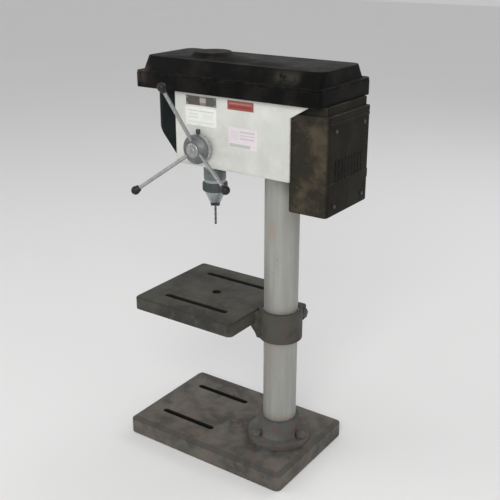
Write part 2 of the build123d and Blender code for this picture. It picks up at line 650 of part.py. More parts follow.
def spline(z0, z1, extra):
    body = disc(0, SPINDLE_Y, z0, z1, SPLINE_ROOT_R + extra)
    for i in range(SPLINE_TEETH // 2):
        bar = Pos(0, SPINDLE_Y, (z0 + z1) / 2) * Rot(0, 0, i * 360 / SPLINE_TEETH) * Box(
            2 * (SPINDLE_R + extra), SPLINE_W + 2 * extra, z1 - z0)
        body += bar & disc(0, SPINDLE_Y, z0, z1, SPINDLE_R + extra)
    return body


def spindle():
    body = disc(0, SPINDLE_Y, CHUCK_TOP, QUILL_TOP, SPINDLE_R)
    body += disc(0, SPINDLE_Y, CHUCK_TOP, QUILL_LOW - GAP, SPINDLE_NOSE_R)
    body += cone(0, SPINDLE_Y, CHUCK_TOP - ARBOR_LENGTH, CHUCK_TOP, ARBOR_R - 0.8, ARBOR_R)
    return body + spline(QUILL_TOP, SPINDLE_TOP, 0)


def jaw_axis_place(i):
    """A jaw's frame: its local Z runs up along the jaw, and its local X points outwards."""
    start = BIT_R + JAW_TO_BIT + JAW_R * 0.85
    return Pos(0, SPINDLE_Y, 0) * Rot(0, 0, 90 + 120 * i) * Pos(start, 0, JAW_LOW) * Rot(0, JAW_TILT, 0)


def chuck_body():
    body = disc(0, SPINDLE_Y, CHUCK_RING_LOW, CHUCK_TOP, CHUCK_R)
    body = chamfer(body.faces().sort_by(Axis.Z)[-1].edges(), 1.5)
    body += cone(0, SPINDLE_Y, CHUCK_NOSE_LOW, CHUCK_RING_LOW, CHUCK_NOSE_R, CHUCK_R)
    body -= cone(0, SPINDLE_Y, CHUCK_TOP - ARBOR_LENGTH - 1, CHUCK_TOP, ARBOR_R - 0.85 + SEAT,
                 ARBOR_R + SEAT)
    body -= disc(0, SPINDLE_Y, CHUCK_NOSE_LOW - 1, BIT_TOP + 2, BIT_R + 1.6)
    room = JAW_LENGTH + JAW_TRAVEL + 1.5
    for i in range(3):
        body -= jaw_axis_place(i) * Pos(0, 0, room / 2 - 5) * Cylinder(JAW_R + RUN, room + 10)
    return body


def chuck_sleeve():
    body = disc(0, SPINDLE_Y, CHUCK_RING_LOW + 0.2, CHUCK_RING_TOP, CHUCK_RING_R)
    body = chamfer(body.edges().filter_by(GeomType.CIRCLE), 0.8)
    return body - disc(0, SPINDLE_Y, CHUCK_RING_LOW - 1, CHUCK_RING_TOP + 1, CHUCK_R + RUN)


def chuck_jaw(i):
    """One jaw: a round bar that slides down its slanting bore, flat where it grips the bit."""
    body = jaw_axis_place(i) * Pos(0, 0, JAW_LENGTH / 2 - 3) * Cylinder(JAW_R, JAW_LENGTH + 6)
    body -= block(-20, 20, SPINDLE_Y - 20, SPINDLE_Y + 20, JAW_LOW - 20, JAW_LOW)
    grip = Pos(0, SPINDLE_Y, 0) * Rot(0, 0, 90 + 120 * i) * block(-9, BIT_R + JAW_TO_BIT, -20, 20,
                                                                JAW_LOW - 20, JAW_LOW + 60)
    return body - grip


def drill_bit():
    body = disc(0, SPINDLE_Y, BIT_TIP + BIT_POINT_H, BIT_TOP, BIT_R)
    return body + cone(0, SPINDLE_Y, BIT_TIP, BIT_TIP + BIT_POINT_H, 0.1, BIT_R)


def pinion_outline():
    """Involute teeth, with a tooth centred on -Y, as (y, z) points about the shaft."""
    base_r = PITCH_R * cos(radians(PRESSURE_ANGLE))
    tip_r, root_r = PITCH_R + MODULE, PITCH_R - 1.25 * MODULE

    def spread(r):
        a = acos(min(1, base_r / r))
        return tan(a) - a

    half = pi / (2 * PINION_TEETH) - BACKLASH / (4 * PITCH_R) + spread(PITCH_R)
    radii = [max(base_r, root_r) + (tip_r - max(base_r, root_r)) * i / 5 for i in range(6)]
    points = []
    for tooth in range(PINION_TEETH):
        middle = pi + 2 * pi * tooth / PINION_TEETH
        flank = [(r, half - spread(r)) for r in radii]
        if root_r < base_r:
            flank.insert(0, (root_r, half))
        points += [(r * cos(middle - a), r * sin(middle - a)) for r, a in flank]
        points += [(r * cos(middle + a), r * sin(middle + a)) for r, a in reversed(flank)]
    return points


def feed_shaft():
    outline = [(FEED_Y + y, FEED_Z + z) for y, z in pinion_outline()]
    body = side_profile(outline, -PINION_HALF_W, PINION_HALF_W)
    body += disc_x(FEED_Y, FEED_Z, PINION_HALF_W, JOURNAL_START, LEFT_JOURNAL_R)
    body += disc_x(FEED_Y, FEED_Z, JOURNAL_START, HEAD_HALF_X, JOURNAL_R)
    body += disc_x(FEED_Y, FEED_Z, HEAD_HALF_X, HUB_OUTER - HUB_BEVEL, STUB_R)
    return body + disc_x(FEED_Y, FEED_Z, -HEAD_HALF_X - CAP_DEPTH - 6, -PINION_HALF_W, LEFT_JOURNAL_R)


def rod_frame(i):
    """A rod's frame, whose local Z runs from the hub's middle out to the knob, and its length."""
    turn = radians(FIRST_ROD_ANGLE + i * 360 / ROD_COUNT)
    reach = (KNOB_CENTRE_X - HUB_MIDDLE, -KNOB_CENTRE_R * cos(turn), KNOB_CENTRE_R * sin(turn))
    length = sqrt(reach[0] ** 2 + KNOB_CENTRE_R ** 2)
    return Plane(origin=(HUB_MIDDLE, FEED_Y, FEED_Z), z_dir=reach), length


def feed_rods():
    made = []
    for i in range(ROD_COUNT):
        place, length = rod_frame(i)
        made.append(place * Pos(0, 0, (ROD_START + length) / 2) * Cylinder(ROD_R, length - ROD_START))
    return made


def feed_knobs():
    """A short tapered knob on each rod, with a round end."""
    made = []
    for i in range(ROD_COUNT):
        place, length = rod_frame(i)
        low = length - KNOB_LENGTH / 2
        body = Pos(0, 0, low + KNOB_LENGTH / 4) * Cone(KNOB_R * 0.7, KNOB_R, KNOB_LENGTH / 2)
        body += Pos(0, 0, low + KNOB_LENGTH / 2) * Sphere(KNOB_R)
        body -= Pos(0, 0, length / 2) * Cylinder(ROD_R + SEAT, length + 0.1)
        made.append(place * body)
    return made


def feed_hub():
    body = disc_x(FEED_Y, FEED_Z, HUB_INNER + RING_T + GAP, HUB_OUTER, HUB_R)
    body = chamfer(body.faces().sort_by(Axis.X)[-1].edges(), HUB_BEVEL)
    body -= disc_x(FEED_Y, FEED_Z, HUB_INNER, HUB_OUTER - HUB_BEVEL, STUB_R + SEAT)
    for i in range(ROD_COUNT):
        place, length = rod_frame(i)
        body -= place * Pos(0, 0, (ROD_START + length) / 2) * Cylinder(ROD_R + SEAT, length - ROD_START)
    return body


def depth_ring():
    body = disc_x(FEED_Y, FEED_Z, HUB_INNER, HUB_INNER + RING_T, HUB_R)
    body -= disc_x(FEED_Y, FEED_Z, HUB_INNER - 1, HUB_INNER + RING_T + 1, STUB_R + RUN)
    x = HUB_INNER + RING_T / 2
    return body - Pos(x, FEED_Y, FEED_Z + HUB_R - 3) * Cylinder(LOCK_SCREW_R + SEAT, 12)


def depth_lock_screw():
    x = HUB_INNER + RING_T / 2
    body = disc(x, FEED_Y, FEED_Z + STUB_R + 3, FEED_Z + HUB_R + 3, LOCK_SCREW_R)
    return body + disc(x, FEED_Y, FEED_Z + HUB_R + 1, FEED_Z + HUB_R + 6, LOCK_SCREW_R + 1)


def return_spring():
    """A flat spiral spring around the feed shaft's left end."""
    inner, outer = LEFT_JOURNAL_R + 1.5, CAP_R - CAP_WALL - 1.2
    steps = SPRING_TURNS * 12

    def ring(r_extra, order):
        return [((inner + (outer - inner) * i / steps + r_extra) * cos(2 * pi * i / 12),
                 (inner + (outer - inner) * i / steps + r_extra) * sin(2 * pi * i / 12)) for i in order]

    x0 = -HEAD_HALF_X - CAP_DEPTH + CAP_WALL + 1.5
    out = Spline([(x0, FEED_Y + y, FEED_Z + z) for y, z in ring(SPRING_T / 2, range(steps + 1))])
    back = Spline([(x0, FEED_Y + y, FEED_Z + z) for y, z in ring(-SPRING_T / 2, range(steps + 1))])
    ends = [Line(out @ 0, back @ 0), Line(out @ 1, back @ 1)]
    return extrude(make_face([out, back] + ends), CAP_DEPTH - CAP_WALL - 3, dir=(1, 0, 0))


def spring_cap():
    x0, x1 = -HEAD_HALF_X - CAP_DEPTH, -HEAD_HALF_X
    body = disc_x(FEED_Y, FEED_Z, x0, x1, CAP_R)
    body = fillet(body.faces().sort_by(Axis.X)[0].edges(), 2)
    body -= disc_x(FEED_Y, FEED_Z, x0 + CAP_WALL, x1 + 1, CAP_R - CAP_WALL)
    return body - disc_x(FEED_Y, FEED_Z, x0 - 1, x1, LEFT_JOURNAL_R + WALL_GAP)


def spring_cap_nut():
    x1 = -HEAD_HALF_X - CAP_DEPTH - GAP
    body = Pos(x1, FEED_Y, FEED_Z) * Rot(0, -90, 0) * hexagon(0, 0, 0, 4.5, 22)
    return body - disc_x(FEED_Y, FEED_Z, x1 - 6, x1 + 1, LEFT_JOURNAL_R + SEAT)


def drive_bearing_places():
    return (QUILL_TOP + 2, QUILL_TOP + 2 + BEARING_SPREAD)


def drive_bearings():
    return [bearing(0, SPINDLE_Y, z, DRIVE_BEARING_W, DRIVE_BEARING_R, SLEEVE_R + RUN)
            for z in drive_bearing_places()]


def drive_sleeve():
    low = QUILL_TOP + 1
    return disc(0, SPINDLE_Y, low, SLEEVE_TOP, SLEEVE_R) - spline(low - 1, SLEEVE_TOP + 1, RUN)


def stepped_pulley(y, steps, bore):
    """Steps with a V groove each, from the lowest up."""
    body = None
    for i, r in enumerate(steps):
        z0 = PULLEY_LOW + i * STEP_H
        z1 = z0 + STEP_H
        step = disc(0, y, z0, z1, r)
        lip = 0.9
        groove = disc(0, y, z0 + lip, z1 - lip, r + 1) - disc(0, y, z0, z1, r - GROOVE_DEPTH)
        wedge = (STEP_H - 2 * lip - BELT_W - 0.6) / 2
        groove -= cone(0, y, z0 + lip, z0 + lip + wedge, r + 0.01, r - GROOVE_DEPTH)
        groove -= cone(0, y, z1 - lip - wedge, z1 - lip, r - GROOVE_DEPTH, r + 0.01)
        step -= groove
        body = step if body is None else body + step
    return body - disc(0, y, PULLEY_LOW - 1, PULLEY_LOW + STEP_H * len(steps) + 1, bore)


def pulley_nut():
    top = PULLEY_TOP + PULLEY_NUT_H
    body = hexagon(0, SPINDLE_Y, PULLEY_TOP, top, PULLEY_NUT_AF)
    return body - disc(0, SPINDLE_Y, PULLEY_TOP - 1, top + 1, SLEEVE_R + SEAT)


def loop(r_spindle, r_motor, z0, z1):
    """The full shape inside a belt that runs round both pulleys."""
    circles = [Pos(0, SPINDLE_Y, z0) * Circle(r_spindle), Pos(0, MOTOR_SHAFT_Y, z0) * Circle(r_motor)]
    return extrude(make_hull(circles[0].edges() + circles[1].edges()), z1 - z0)


def v_belt():
    middle = PULLEY_LOW + (BELT_STEP + 0.5) * STEP_H
    z0, z1 = middle - BELT_W / 2, middle + BELT_W / 2
    rs, rm = SPINDLE_STEPS[BELT_STEP] - 0.5, MOTOR_STEPS[BELT_STEP] - 0.5
    return loop(rs, rm, z0, z1) - loop(rs - BELT_T, rm - BELT_T, z0 - 1, z1 + 1)


def pan_screw_places():
    return [(side * (HEAD_HALF_X - HEAD_WALL / 2), y) for side in (-1, 1) for y in (-100.0, 10.0)]


def hinge_knuckle(y0, y1):
    return disc_y(HINGE_X, SEAM_Z, y0, y1, KNUCKLE_R)


def belt_pan():
    body = slab(-COVER_HALF_X, COVER_HALF_X, COVER_FRONT, COVER_REAR, HEAD_TOP, SEAM_Z, COVER_CORNER)
    body -= slab(-COVER_HALF_X + COVER_WALL, COVER_HALF_X - COVER_WALL, COVER_FRONT + COVER_WALL,
                 COVER_REAR - COVER_WALL, PAN_FLOOR, SEAM_Z + 1, COVER_CORNER - COVER_WALL)
    body -= disc(0, SPINDLE_Y, HEAD_TOP - 1, PAN_FLOOR + 1, QUILL_BOSS_R + GAP)
    room = MOTOR_SHAFT_R + 3
    body -= block(-room, room, MOTOR_SHAFT_Y - MOTOR_SLIDE - room, MOTOR_SHAFT_Y + room, HEAD_TOP - 1,
                  PAN_FLOOR + 1)
    for x, y in pan_screw_places():
        body -= disc(x, y, HEAD_TOP - 1, PAN_FLOOR + 1, SMALL_SCREW_R + SEAT)
    low = SEAM_Z - 3 * KNUCKLE_R
    for y in HINGE_Y:
        for y0, y1 in ((y - 3 * KNUCKLE_HALF, y - KNUCKLE_HALF), (y + KNUCKLE_HALF, y + 3 * KNUCKLE_HALF)):
            body += hinge_knuckle(y0, y1)
            body += block(HINGE_X - KNUCKLE_R, -COVER_HALF_X, y0, y1, low, SEAM_Z)
    for y in HINGE_Y:
        body -= disc_y(HINGE_X, SEAM_Z, y - 20, y + 20, HINGE_PIN_R + SEAT)
    return body


def pan_screws():
    return [disc(x, y, HEAD_TOP - SMALL_SCREW_L, PAN_FLOOR, SMALL_SCREW_R)
            + disc(x, y, PAN_FLOOR, PAN_FLOOR + 2, SMALL_SCREW_R * 2) for x, y in pan_screw_places()]


def lid_outline(z, wall):
    """The lid's outline at a height, moved in by the wall as measured square to each leaning side."""
    rise = (z - SEAM_Z) / LID_H
    side = LID_SET_BACK + LID_SIDE_LEAN * rise + wall * hypot(1, LID_SIDE_LEAN / LID_H)
    end = LID_SET_BACK + LID_END_LEAN * rise + wall * hypot(1, LID_END_LEAN / LID_H)
    outline = RectangleRounded(2 * (COVER_HALF_X - side), COVER_REAR - COVER_FRONT - 2 * end,
                               LID_CORNER - wall)
    return Pos(0, (COVER_FRONT + COVER_REAR) / 2, z) * outline


def lid_shell(inset, bottom):
    """The lid's full shape, smaller by inset: leaning sides and a low round hump over the spindle."""
    body = loft([lid_outline(z, inset).face() for z in (bottom, LID_TOP - inset)], ruled=True)
    low = LID_TOP - inset - 1
    high = HUMP_TOP - inset
    top_r = HUMP_R - inset - (high - low) * tan(radians(HUMP_DRAFT))
    return body + cone(0, SPINDLE_Y, low, high, HUMP_R - inset, top_r)


def belt_lid():
    bottom = SEAM_Z + GAP
    rim = slab(-COVER_HALF_X + LID_RIM_BACK, COVER_HALF_X - LID_RIM_BACK, COVER_FRONT + LID_RIM_BACK,
               COVER_REAR - LID_RIM_BACK, bottom, bottom + LID_RIM_T, COVER_CORNER - LID_RIM_BACK)
    body = lid_shell(0, bottom) + rim - lid_shell(COVER_WALL, bottom - 0.01)
    for y in HINGE_Y:
        half = KNUCKLE_HALF - GAP
        body += hinge_knuckle(y - half, y + half)
        body += block(HINGE_X, -COVER_HALF_X + LID_SET_BACK + 2.5, y - half, y + half, bottom,
                      SEAM_Z + KNUCKLE_R)
        body -= disc_y(HINGE_X, SEAM_Z, y - 20, y + 20, HINGE_PIN_R + RUN)
    return body


def lid_hinge_pins():
    reach = 3 * KNUCKLE_HALF + 1
    return [disc_y(HINGE_X, SEAM_Z, y - reach, y + reach, HINGE_PIN_R) for y in HINGE_Y]


def motor_form(grow, z0, z1):
    """The motor's outline, larger all round by grow: square in front, well rounded behind."""
    body = block(-MOTOR_HALF_X - grow, MOTOR_HALF_X + grow, MOTOR_FRONT - grow, MOTOR_REAR + grow, z0, z1)
    sides = body.edges().filter_by(Axis.Z).group_by(Axis.Y)
    body = fillet(sides[0], max(MOTOR_FRONT_CORNER + grow, 0.5))
    return fillet(body.edges().filter_by(Axis.Z).group_by(Axis.Y)[-1], MOTOR_CORNER + grow)


def motor_casing():
    inner = MOTOR_WALL
    body = motor_form(0, MOTOR_LOW, MOTOR_SEAM)
    body = fillet(body.faces().sort_by(Axis.Z)[0].edges(), 2.5)
    body -= motor_form(-inner, MOTOR_LOW + inner, MOTOR_SEAM + 1)
    body += disc(0, MOTOR_SHAFT_Y, MOTOR_LOW + 1, MOTOR_LOW + inner + MOTOR_BEARING_W, MOTOR_BEARING_R + 2)
    body -= disc(0, MOTOR_SHAFT_Y, MOTOR_LOW + inner, MOTOR_SEAM, MOTOR_BEARING_R + SEAT)
    for side in (-1, 1):
        body -= disc_y(side * BAR_X, BAR_Z, MOTOR_FRONT - 1, MOTOR_FRONT + inner + 1, BAR_R + SEAT)
    return body


def motor_top_plate():
    """The motor's upper end, with a raised neck that fills the height up to the belt cover."""
    body = motor_form(0.4, MOTOR_SEAM, MOTOR_TOP)
    body += motor_form(-MOTOR_NECK_IN, MOTOR_TOP - 1, HEAD_TOP - GAP)
    body -= disc(0, MOTOR_SHAFT_Y, MOTOR_SEAM - 1, MOTOR_TOP - 1.5, MOTOR_BEARING_R + SEAT)
    return body - disc(0, MOTOR_SHAFT_Y, MOTOR_SEAM - 1, HEAD_TOP + 1, MOTOR_SHAFT_R + 1)


def motor_bearing_places():
    return (MOTOR_LOW + MOTOR_WALL, MOTOR_TOP - 1.5 - MOTOR_BEARING_W)


def motor_bearings():
    return [bearing(0, MOTOR_SHAFT_Y, z, MOTOR_BEARING_W, MOTOR_BEARING_R, MOTOR_SHAFT_R + RUN)
            for z in motor_bearing_places()]


def stator():
    body = block(-COIL_X - 4, COIL_X + 4, MOTOR_SHAFT_Y - STATOR_HALF_Y, MOTOR_SHAFT_Y + STATOR_HALF_Y,
                 STATOR_LOW, STATOR_HIGH)
    for side in (-1, 1):
        body -= disc(side * COIL_X, MOTOR_SHAFT_Y, STATOR_LOW - 1, STATOR_HIGH + 1, COIL_R + 0.5)
    return body - disc(0, MOTOR_SHAFT_Y, STATOR_LOW - 1, STATOR_HIGH + 1, ROTOR_R + AIR_GAP)


def stator_coils():
    low, high = STATOR_LOW - 6, STATOR_HIGH + 6
    coils = [disc(side * COIL_X, MOTOR_SHAFT_Y, low, high, COIL_R) for side in (-1, 1)]
    return [fillet(coil.edges().filter_by(GeomType.CIRCLE), 2) for coil in coils]


def rotor():
    return disc(0, MOTOR_SHAFT_Y, STATOR_LOW, STATOR_HIGH, ROTOR_R) - disc(
        0, MOTOR_SHAFT_Y, STATOR_LOW - 1, STATOR_HIGH + 1, MOTOR_SHAFT_R + SEAT)


def motor_shaft():
    return disc(0, MOTOR_SHAFT_Y, MOTOR_LOW + MOTOR_WALL + 0.5, MOTOR_SHAFT_TOP, MOTOR_SHAFT_R)


def motor_fan():
    """Eight flat blades on a hub, above the rotor."""
    z0, z1 = STATOR_HIGH + 8, STATOR_HIGH + 18
    body = disc(0, MOTOR_SHAFT_Y, z0, z1, MOTOR_SHAFT_R + 3)
    for i in range(4):
        body += Pos(0, MOTOR_SHAFT_Y, (z0 + z1) / 2) * Rot(0, 0, i * 45) * Box(2 * FAN_R, 1.4, z1 - z0)
    return body - disc(0, MOTOR_SHAFT_Y, z0 - 1, z1 + 1, MOTOR_SHAFT_R + SEAT)


def slide_bars():
    return [disc_y(side * BAR_X, BAR_Z, BAR_INNER, MOTOR_FRONT + MOTOR_WALL, BAR_R) for side in (-1, 1)]


def tension_knob():
    body = disc_x(TENSION_Y, BAR_Z, -HEAD_HALF_X - 2, -BAR_X - BAR_R - WALL_GAP, SET_SCREW_R - 1)
    grip = disc_x(TENSION_Y, BAR_Z, -HEAD_HALF_X - 16, -HEAD_HALF_X - 2, TENSION_KNOB_R)
    for i in range(5):
        a = radians(72 * i)
        grip -= disc_x(TENSION_Y + 14 * cos(a), BAR_Z + 14 * sin(a), -HEAD_HALF_X - 17, -HEAD_HALF_X - 1, 5.5)
    return body + grip


SINGLE = {
    "base": base, "column_flange": column_flange, "column": column,
    "table_liner": table_liner, "table": table, "clamp_bolt": clamp_bolt, "clamp_lever": clamp_lever,
    "clamp_lever_knob": clamp_lever_knob,
    "head_casting": head_casting, "front_cover": front_cover, "switch_plate": switch_plate,
    "switch_body": switch_body, "start_button": lambda: button(-BUTTON_X, START_PROUD),
    "stop_button": lambda: button(BUTTON_X, STOP_PROUD),
    "nameplate": lambda: label(LABEL_FRONT, LABEL_FRONT + 47, HEAD_TOP - 15.5, HEAD_TOP - 4),
    "data_label": lambda: label(LABEL_FRONT - 1, LABEL_FRONT + 47, HEAD_TOP - 41, HEAD_TOP - 18),
    "warning_label": lambda: label(LABEL_REAR, LABEL_REAR + 38, HEAD_TOP - 15, HEAD_TOP - 4),
    "speed_label": lambda: label(LABEL_REAR + 1, LABEL_REAR + 44, HEAD_TOP - 62, HEAD_TOP - 36),
    "cable_gland": cable_gland,
    "quill": quill, "spindle": spindle, "chuck_body": chuck_body, "chuck_sleeve": chuck_sleeve,
    "chuck_jaw_1": lambda: chuck_jaw(0), "chuck_jaw_2": lambda: chuck_jaw(1),
    "chuck_jaw_3": lambda: chuck_jaw(2), "drill_bit": drill_bit,
    "feed_shaft": feed_shaft, "feed_hub": feed_hub, "depth_ring": depth_ring,
    "depth_lock_screw": depth_lock_screw, "return_spring": return_spring, "spring_cap": spring_cap,
    "spring_cap_nut": spring_cap_nut,
    "drive_sleeve": drive_sleeve, "pulley_nut": pulley_nut, "v_belt": v_belt,
    "spindle_pulley": lambda: stepped_pulley(SPINDLE_Y, SPINDLE_STEPS, SLEEVE_R + SEAT),
    "motor_pulley": lambda: stepped_pulley(MOTOR_SHAFT_Y, MOTOR_STEPS, MOTOR_SHAFT_R + SEAT),
    "belt_pan": belt_pan, "belt_lid": belt_lid,
    "motor_casing": motor_casing, "motor_top_plate": motor_top_plate, "stator": stator, "rotor": rotor,
    "motor_shaft": motor_shaft, "motor_fan": motor_fan, "tension_knob": tension_knob,
}
GROUPS = {
    "flange_bolts": flange_bolts, "head_set_screws": head_set_screws,
    "front_cover_screws": front_cover_screws, "spindle_bearings": spindle_bearings,
    "feed_rods": feed_rods, "feed_knobs": feed_knobs, "drive_bearings": drive_bearings,
    "pan_screws": pan_screws, "lid_hinge_pins": lid_hinge_pins, "motor_bearings": motor_bearings,
    "stator_coils": stator_coils, "slide_bars": slide_bars,
}

os.makedirs("parts", exist_ok=True)
for name, make in SINGLE.items():
    export_step(make(), f"parts/{name}.step")
for name, make in GROUPS.items():
    export_step(Compound(children=make()), f"parts/{name}.step")
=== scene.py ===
import json

import bmesh
import bpy
from math import cos, pi, radians, sin
from mathutils import Matrix, Vector


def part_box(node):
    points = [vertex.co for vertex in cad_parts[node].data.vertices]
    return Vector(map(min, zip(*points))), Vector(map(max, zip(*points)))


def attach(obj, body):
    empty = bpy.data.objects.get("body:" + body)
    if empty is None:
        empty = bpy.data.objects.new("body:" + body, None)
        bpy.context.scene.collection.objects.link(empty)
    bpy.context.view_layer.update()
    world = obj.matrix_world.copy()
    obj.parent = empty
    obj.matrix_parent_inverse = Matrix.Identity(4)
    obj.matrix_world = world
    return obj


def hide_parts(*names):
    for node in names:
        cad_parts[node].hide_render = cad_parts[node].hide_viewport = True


# A bench drill press: its finishes, its softened castings and its small parts.
# Metres, in the model's own frame: +X the operator's right, -Y the front, +Z up.

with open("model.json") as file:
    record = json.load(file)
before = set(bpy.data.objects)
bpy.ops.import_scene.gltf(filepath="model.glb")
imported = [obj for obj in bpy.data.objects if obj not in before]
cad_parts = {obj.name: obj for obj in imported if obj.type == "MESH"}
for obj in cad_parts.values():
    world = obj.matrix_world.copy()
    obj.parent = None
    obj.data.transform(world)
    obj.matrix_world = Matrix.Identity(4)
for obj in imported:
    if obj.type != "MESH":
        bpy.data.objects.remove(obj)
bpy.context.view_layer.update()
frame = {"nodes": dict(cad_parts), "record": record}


# ---------------------------------------------------------------- shader maths

class Value:
    """A number that changes over a surface. Python's own signs add the nodes that work it out."""

    def __init__(self, finish, socket):
        self.finish = finish
        self.socket = socket

    def worked(self, operation, first, second=0.0):
        node = self.finish.node("ShaderNodeMath", {"operation": operation}, {0: first, 1: second})
        return Value(self.finish, node.outputs[0])

    def __add__(self, other):
        return self.worked("ADD", self, other)

    __radd__ = __add__

    def __sub__(self, other):
        return self.worked("SUBTRACT", self, other)

    def __rsub__(self, other):
        return self.worked("SUBTRACT", other, self)

    def __mul__(self, other):
        return self.worked("MULTIPLY", self, other)

    __rmul__ = __mul__

    def __abs__(self):
        return self.worked("ABSOLUTE", self)

    def least(self, other):
        return self.worked("MINIMUM", self, other)

    def wave(self):
        return self.worked("SINE", self)

    def step(self, low, high):
        """0 at low, 1 at high, smooth between them; low may be the larger."""
        node = self.finish.node("ShaderNodeMapRange", {"interpolation_type": "SMOOTHSTEP"},
                                {0: self, 1: min(low, high), 2: max(low, high)})
        value = Value(self.finish, node.outputs[0])
        return value if low < high else 1 - value


class Finish:
    """One material while it is made."""

    def __init__(self, name, colour, roughness, metallic=0.0, shine=0.5):
        self.material = bpy.data.materials.new(name)
        self.material.use_nodes = True
        self.tree = self.material.node_tree
        self.tree.nodes.clear()
        self.shader = self.node("ShaderNodeBsdfPrincipled", {}, {
            "Base Color": colour, "Roughness": roughness, "Metallic": metallic, "Specular IOR Level": shine})
        self.node("ShaderNodeOutputMaterial", {}, {"Surface": self.shader.outputs[0]})
        self.material.diffuse_color = (*colour, 1)
        self.where = self.node("ShaderNodeTexCoord", {}, {}).outputs["Object"]

    def node(self, kind, settings, sockets):
        """A node of that kind, with its settings and then its sockets' values or links."""
        made = self.tree.nodes.new(kind)
        for name, value in settings.items():
            setattr(made, name, value)
        for key, value in sockets.items():
            self.feed(made.inputs[key], value)
        return made

    def feed(self, socket, value):
        if isinstance(value, Value):
            self.tree.links.new(value.socket, socket)
        elif isinstance(value, bpy.types.NodeSocket):
            self.tree.links.new(value, socket)
        elif isinstance(value, tuple) and socket.type == "RGBA":
            socket.default_value = (*value, 1.0)
        else:
            socket.default_value = value

    def along(self, axis):
        split = self.node("ShaderNodeSeparateXYZ", {}, {0: self.where})
        return Value(self, split.outputs[axis])

    def facing(self, axis):
        """How far the surface faces along X, Y or Z, whichever way its body has turned since."""
        geometry = self.node("ShaderNodeNewGeometry", {}, {})
        own = self.node("ShaderNodeVectorTransform", {"vector_type": "NORMAL", "convert_from": "WORLD",
                                                      "convert_to": "OBJECT"}, {0: geometry.outputs["Normal"]})
        split = self.node("ShaderNodeSeparateXYZ", {}, {0: own.outputs[0]})
        return Value(self, split.outputs[axis])

    def patches(self, size, detail=3.0, harsh=0.55, stretch=(1, 1, 1), seat=0.0):
        """Random patches of that size in metres, longer along an axis where stretch is more than 1."""
        placed = self.node("ShaderNodeMapping", {}, {
            "Vector": self.where, "Location": (seat, seat * 1.7, seat * 0.6),
            "Scale": tuple(1 / (size * s) for s in stretch)})
        noise = self.node("ShaderNodeTexNoise", {}, {
            "Vector": placed.outputs[0], "Scale": 1.0, "Detail": detail, "Roughness": harsh})
        return Value(self, noise.outputs[0])

    def pits(self, size, seat=0.0):
        """Round spots of about that size: 0 in the middle of each, 1 away from it."""
        placed = self.node("ShaderNodeMapping", {}, {
            "Vector": self.where, "Location": (seat, seat, seat), "Scale": (1 / size,) * 3})
        cells = self.node("ShaderNodeTexVoronoi", {}, {"Vector": placed.outputs[0], "Scale": 1.0})
        return Value(self, cells.outputs["Distance"])

    def edges(self, width, low=0.02, high=0.25):
        """1 along sharp edges and in corners, 0 on flat faces."""
        soft = self.node("ShaderNodeBevel", {"samples": 4}, {"Radius": width})
        true = self.node("ShaderNodeNewGeometry", {}, {})
        match = self.node("ShaderNodeVectorMath", {"operation": "DOT_PRODUCT"},
                          {0: soft.outputs[0], 1: true.outputs["Normal"]})
        return (1 - Value(self, match.outputs["Value"])).step(low, high)

    def mixed(self, amount, below, above):
        """One colour where amount is 0, the other where it is 1."""
        node = self.node("ShaderNodeMix", {"data_type": "RGBA"}, {0: amount, 6: below, 7: above})
        return node.outputs[2]

    def patch(self, centre, half, soft=0.0003, axes=(1, 2)):
        """1 inside a rectangle across two axes."""
        made = None
        for axis, middle, reach in zip(axes, centre, half):
            part = abs(self.along(axis) - middle).step(reach + soft, reach - soft)
            made = part if made is None else made * part
        return made

    def paint(self, colour=None, roughness=None, metallic=None, height=None, depth=0.0002, strength=0.5):
        for name, value in (("Base Color", colour), ("Roughness", roughness), ("Metallic", metallic)):
            if value is not None:
                self.feed(self.shader.inputs[name], value)
        if height is not None:
            bump = self.node("ShaderNodeBump", {}, {"Height": height, "Distance": depth, "Strength": strength})
            self.feed(self.shader.inputs["Normal"], bump.outputs[0])
        return self.material


# ---------------------------------------------------------------- finishes

def sand_cast_iron(name, clean, dark, warm, warm_amount=0.5, seat=0.0, shaded_holes=()):
    """Old painted cast iron: mottled, darker in its corners, brown where the paint has aged, with painted shade on
    its sloped bevel faces.
    Each of shaded_holes, given as (centre x, centre y, half width, half length, top), has its walls painted near
    black as painted shade."""
    finish = Finish(name, clean, 0.62, 0.0, 0.35)
    broad = finish.patches(0.055, 3, 0.6, seat=seat)
    mottle = finish.patches(0.013, 4, 0.65, seat=seat + 3)
    fine = finish.patches(0.0011, 2, 0.6, seat=seat + 7)
    colour = finish.mixed(broad.step(0.36, 0.66), dark, clean)
    colour = finish.mixed((mottle.step(0.47, 0.68) * warm_amount).least(1.0), colour, warm)
    cool = tuple(c * k for c, k in zip(clean, (0.92, 1.08, 1.12)))
    colour = finish.mixed(finish.patches(0.022, 3, 0.5, seat=seat + 11).step(0.52, 0.7) * 0.55, colour, cool)
    lighter = tuple(min(1.0, c * 1.75) for c in clean)
    colour = finish.mixed(fine.step(0.56, 0.75) * 0.35, colour, lighter)
    # The sloped bevel faces, found by their normal, are painted darker: painted shade.
    slope = finish.facing(2)
    bevel = slope.step(0.5, 0.7) * slope.step(0.97, 0.9)
    colour = finish.mixed(bevel * 0.55, colour, tuple(c * 0.7 for c in dark))
    edge = finish.edges(0.0022)
    colour = finish.mixed(edge * finish.patches(0.006, 2, 0.6, seat=seat + 5).step(0.3, 0.62) * 0.5, colour,
                          tuple(c * 0.5 for c in dark))
    # Each hole's walls, below its top, are painted near black: painted shade in the recess.
    for x, y, wide, long, top in shaded_holes:
        inside = finish.patch((x, y), (wide, long), 0.0004, (0, 1)) * finish.along(2).step(top, top - 0.0006)
        colour = finish.mixed(inside * 0.97, colour, (0.004, 0.004, 0.004))
    rough = 0.5 + mottle * 0.26
    skin = finish.patches(0.0016, 3, 0.7, seat=seat + 2) + broad * 2.0
    return finish.paint(colour, rough, height=skin, depth=0.00028, strength=0.45)


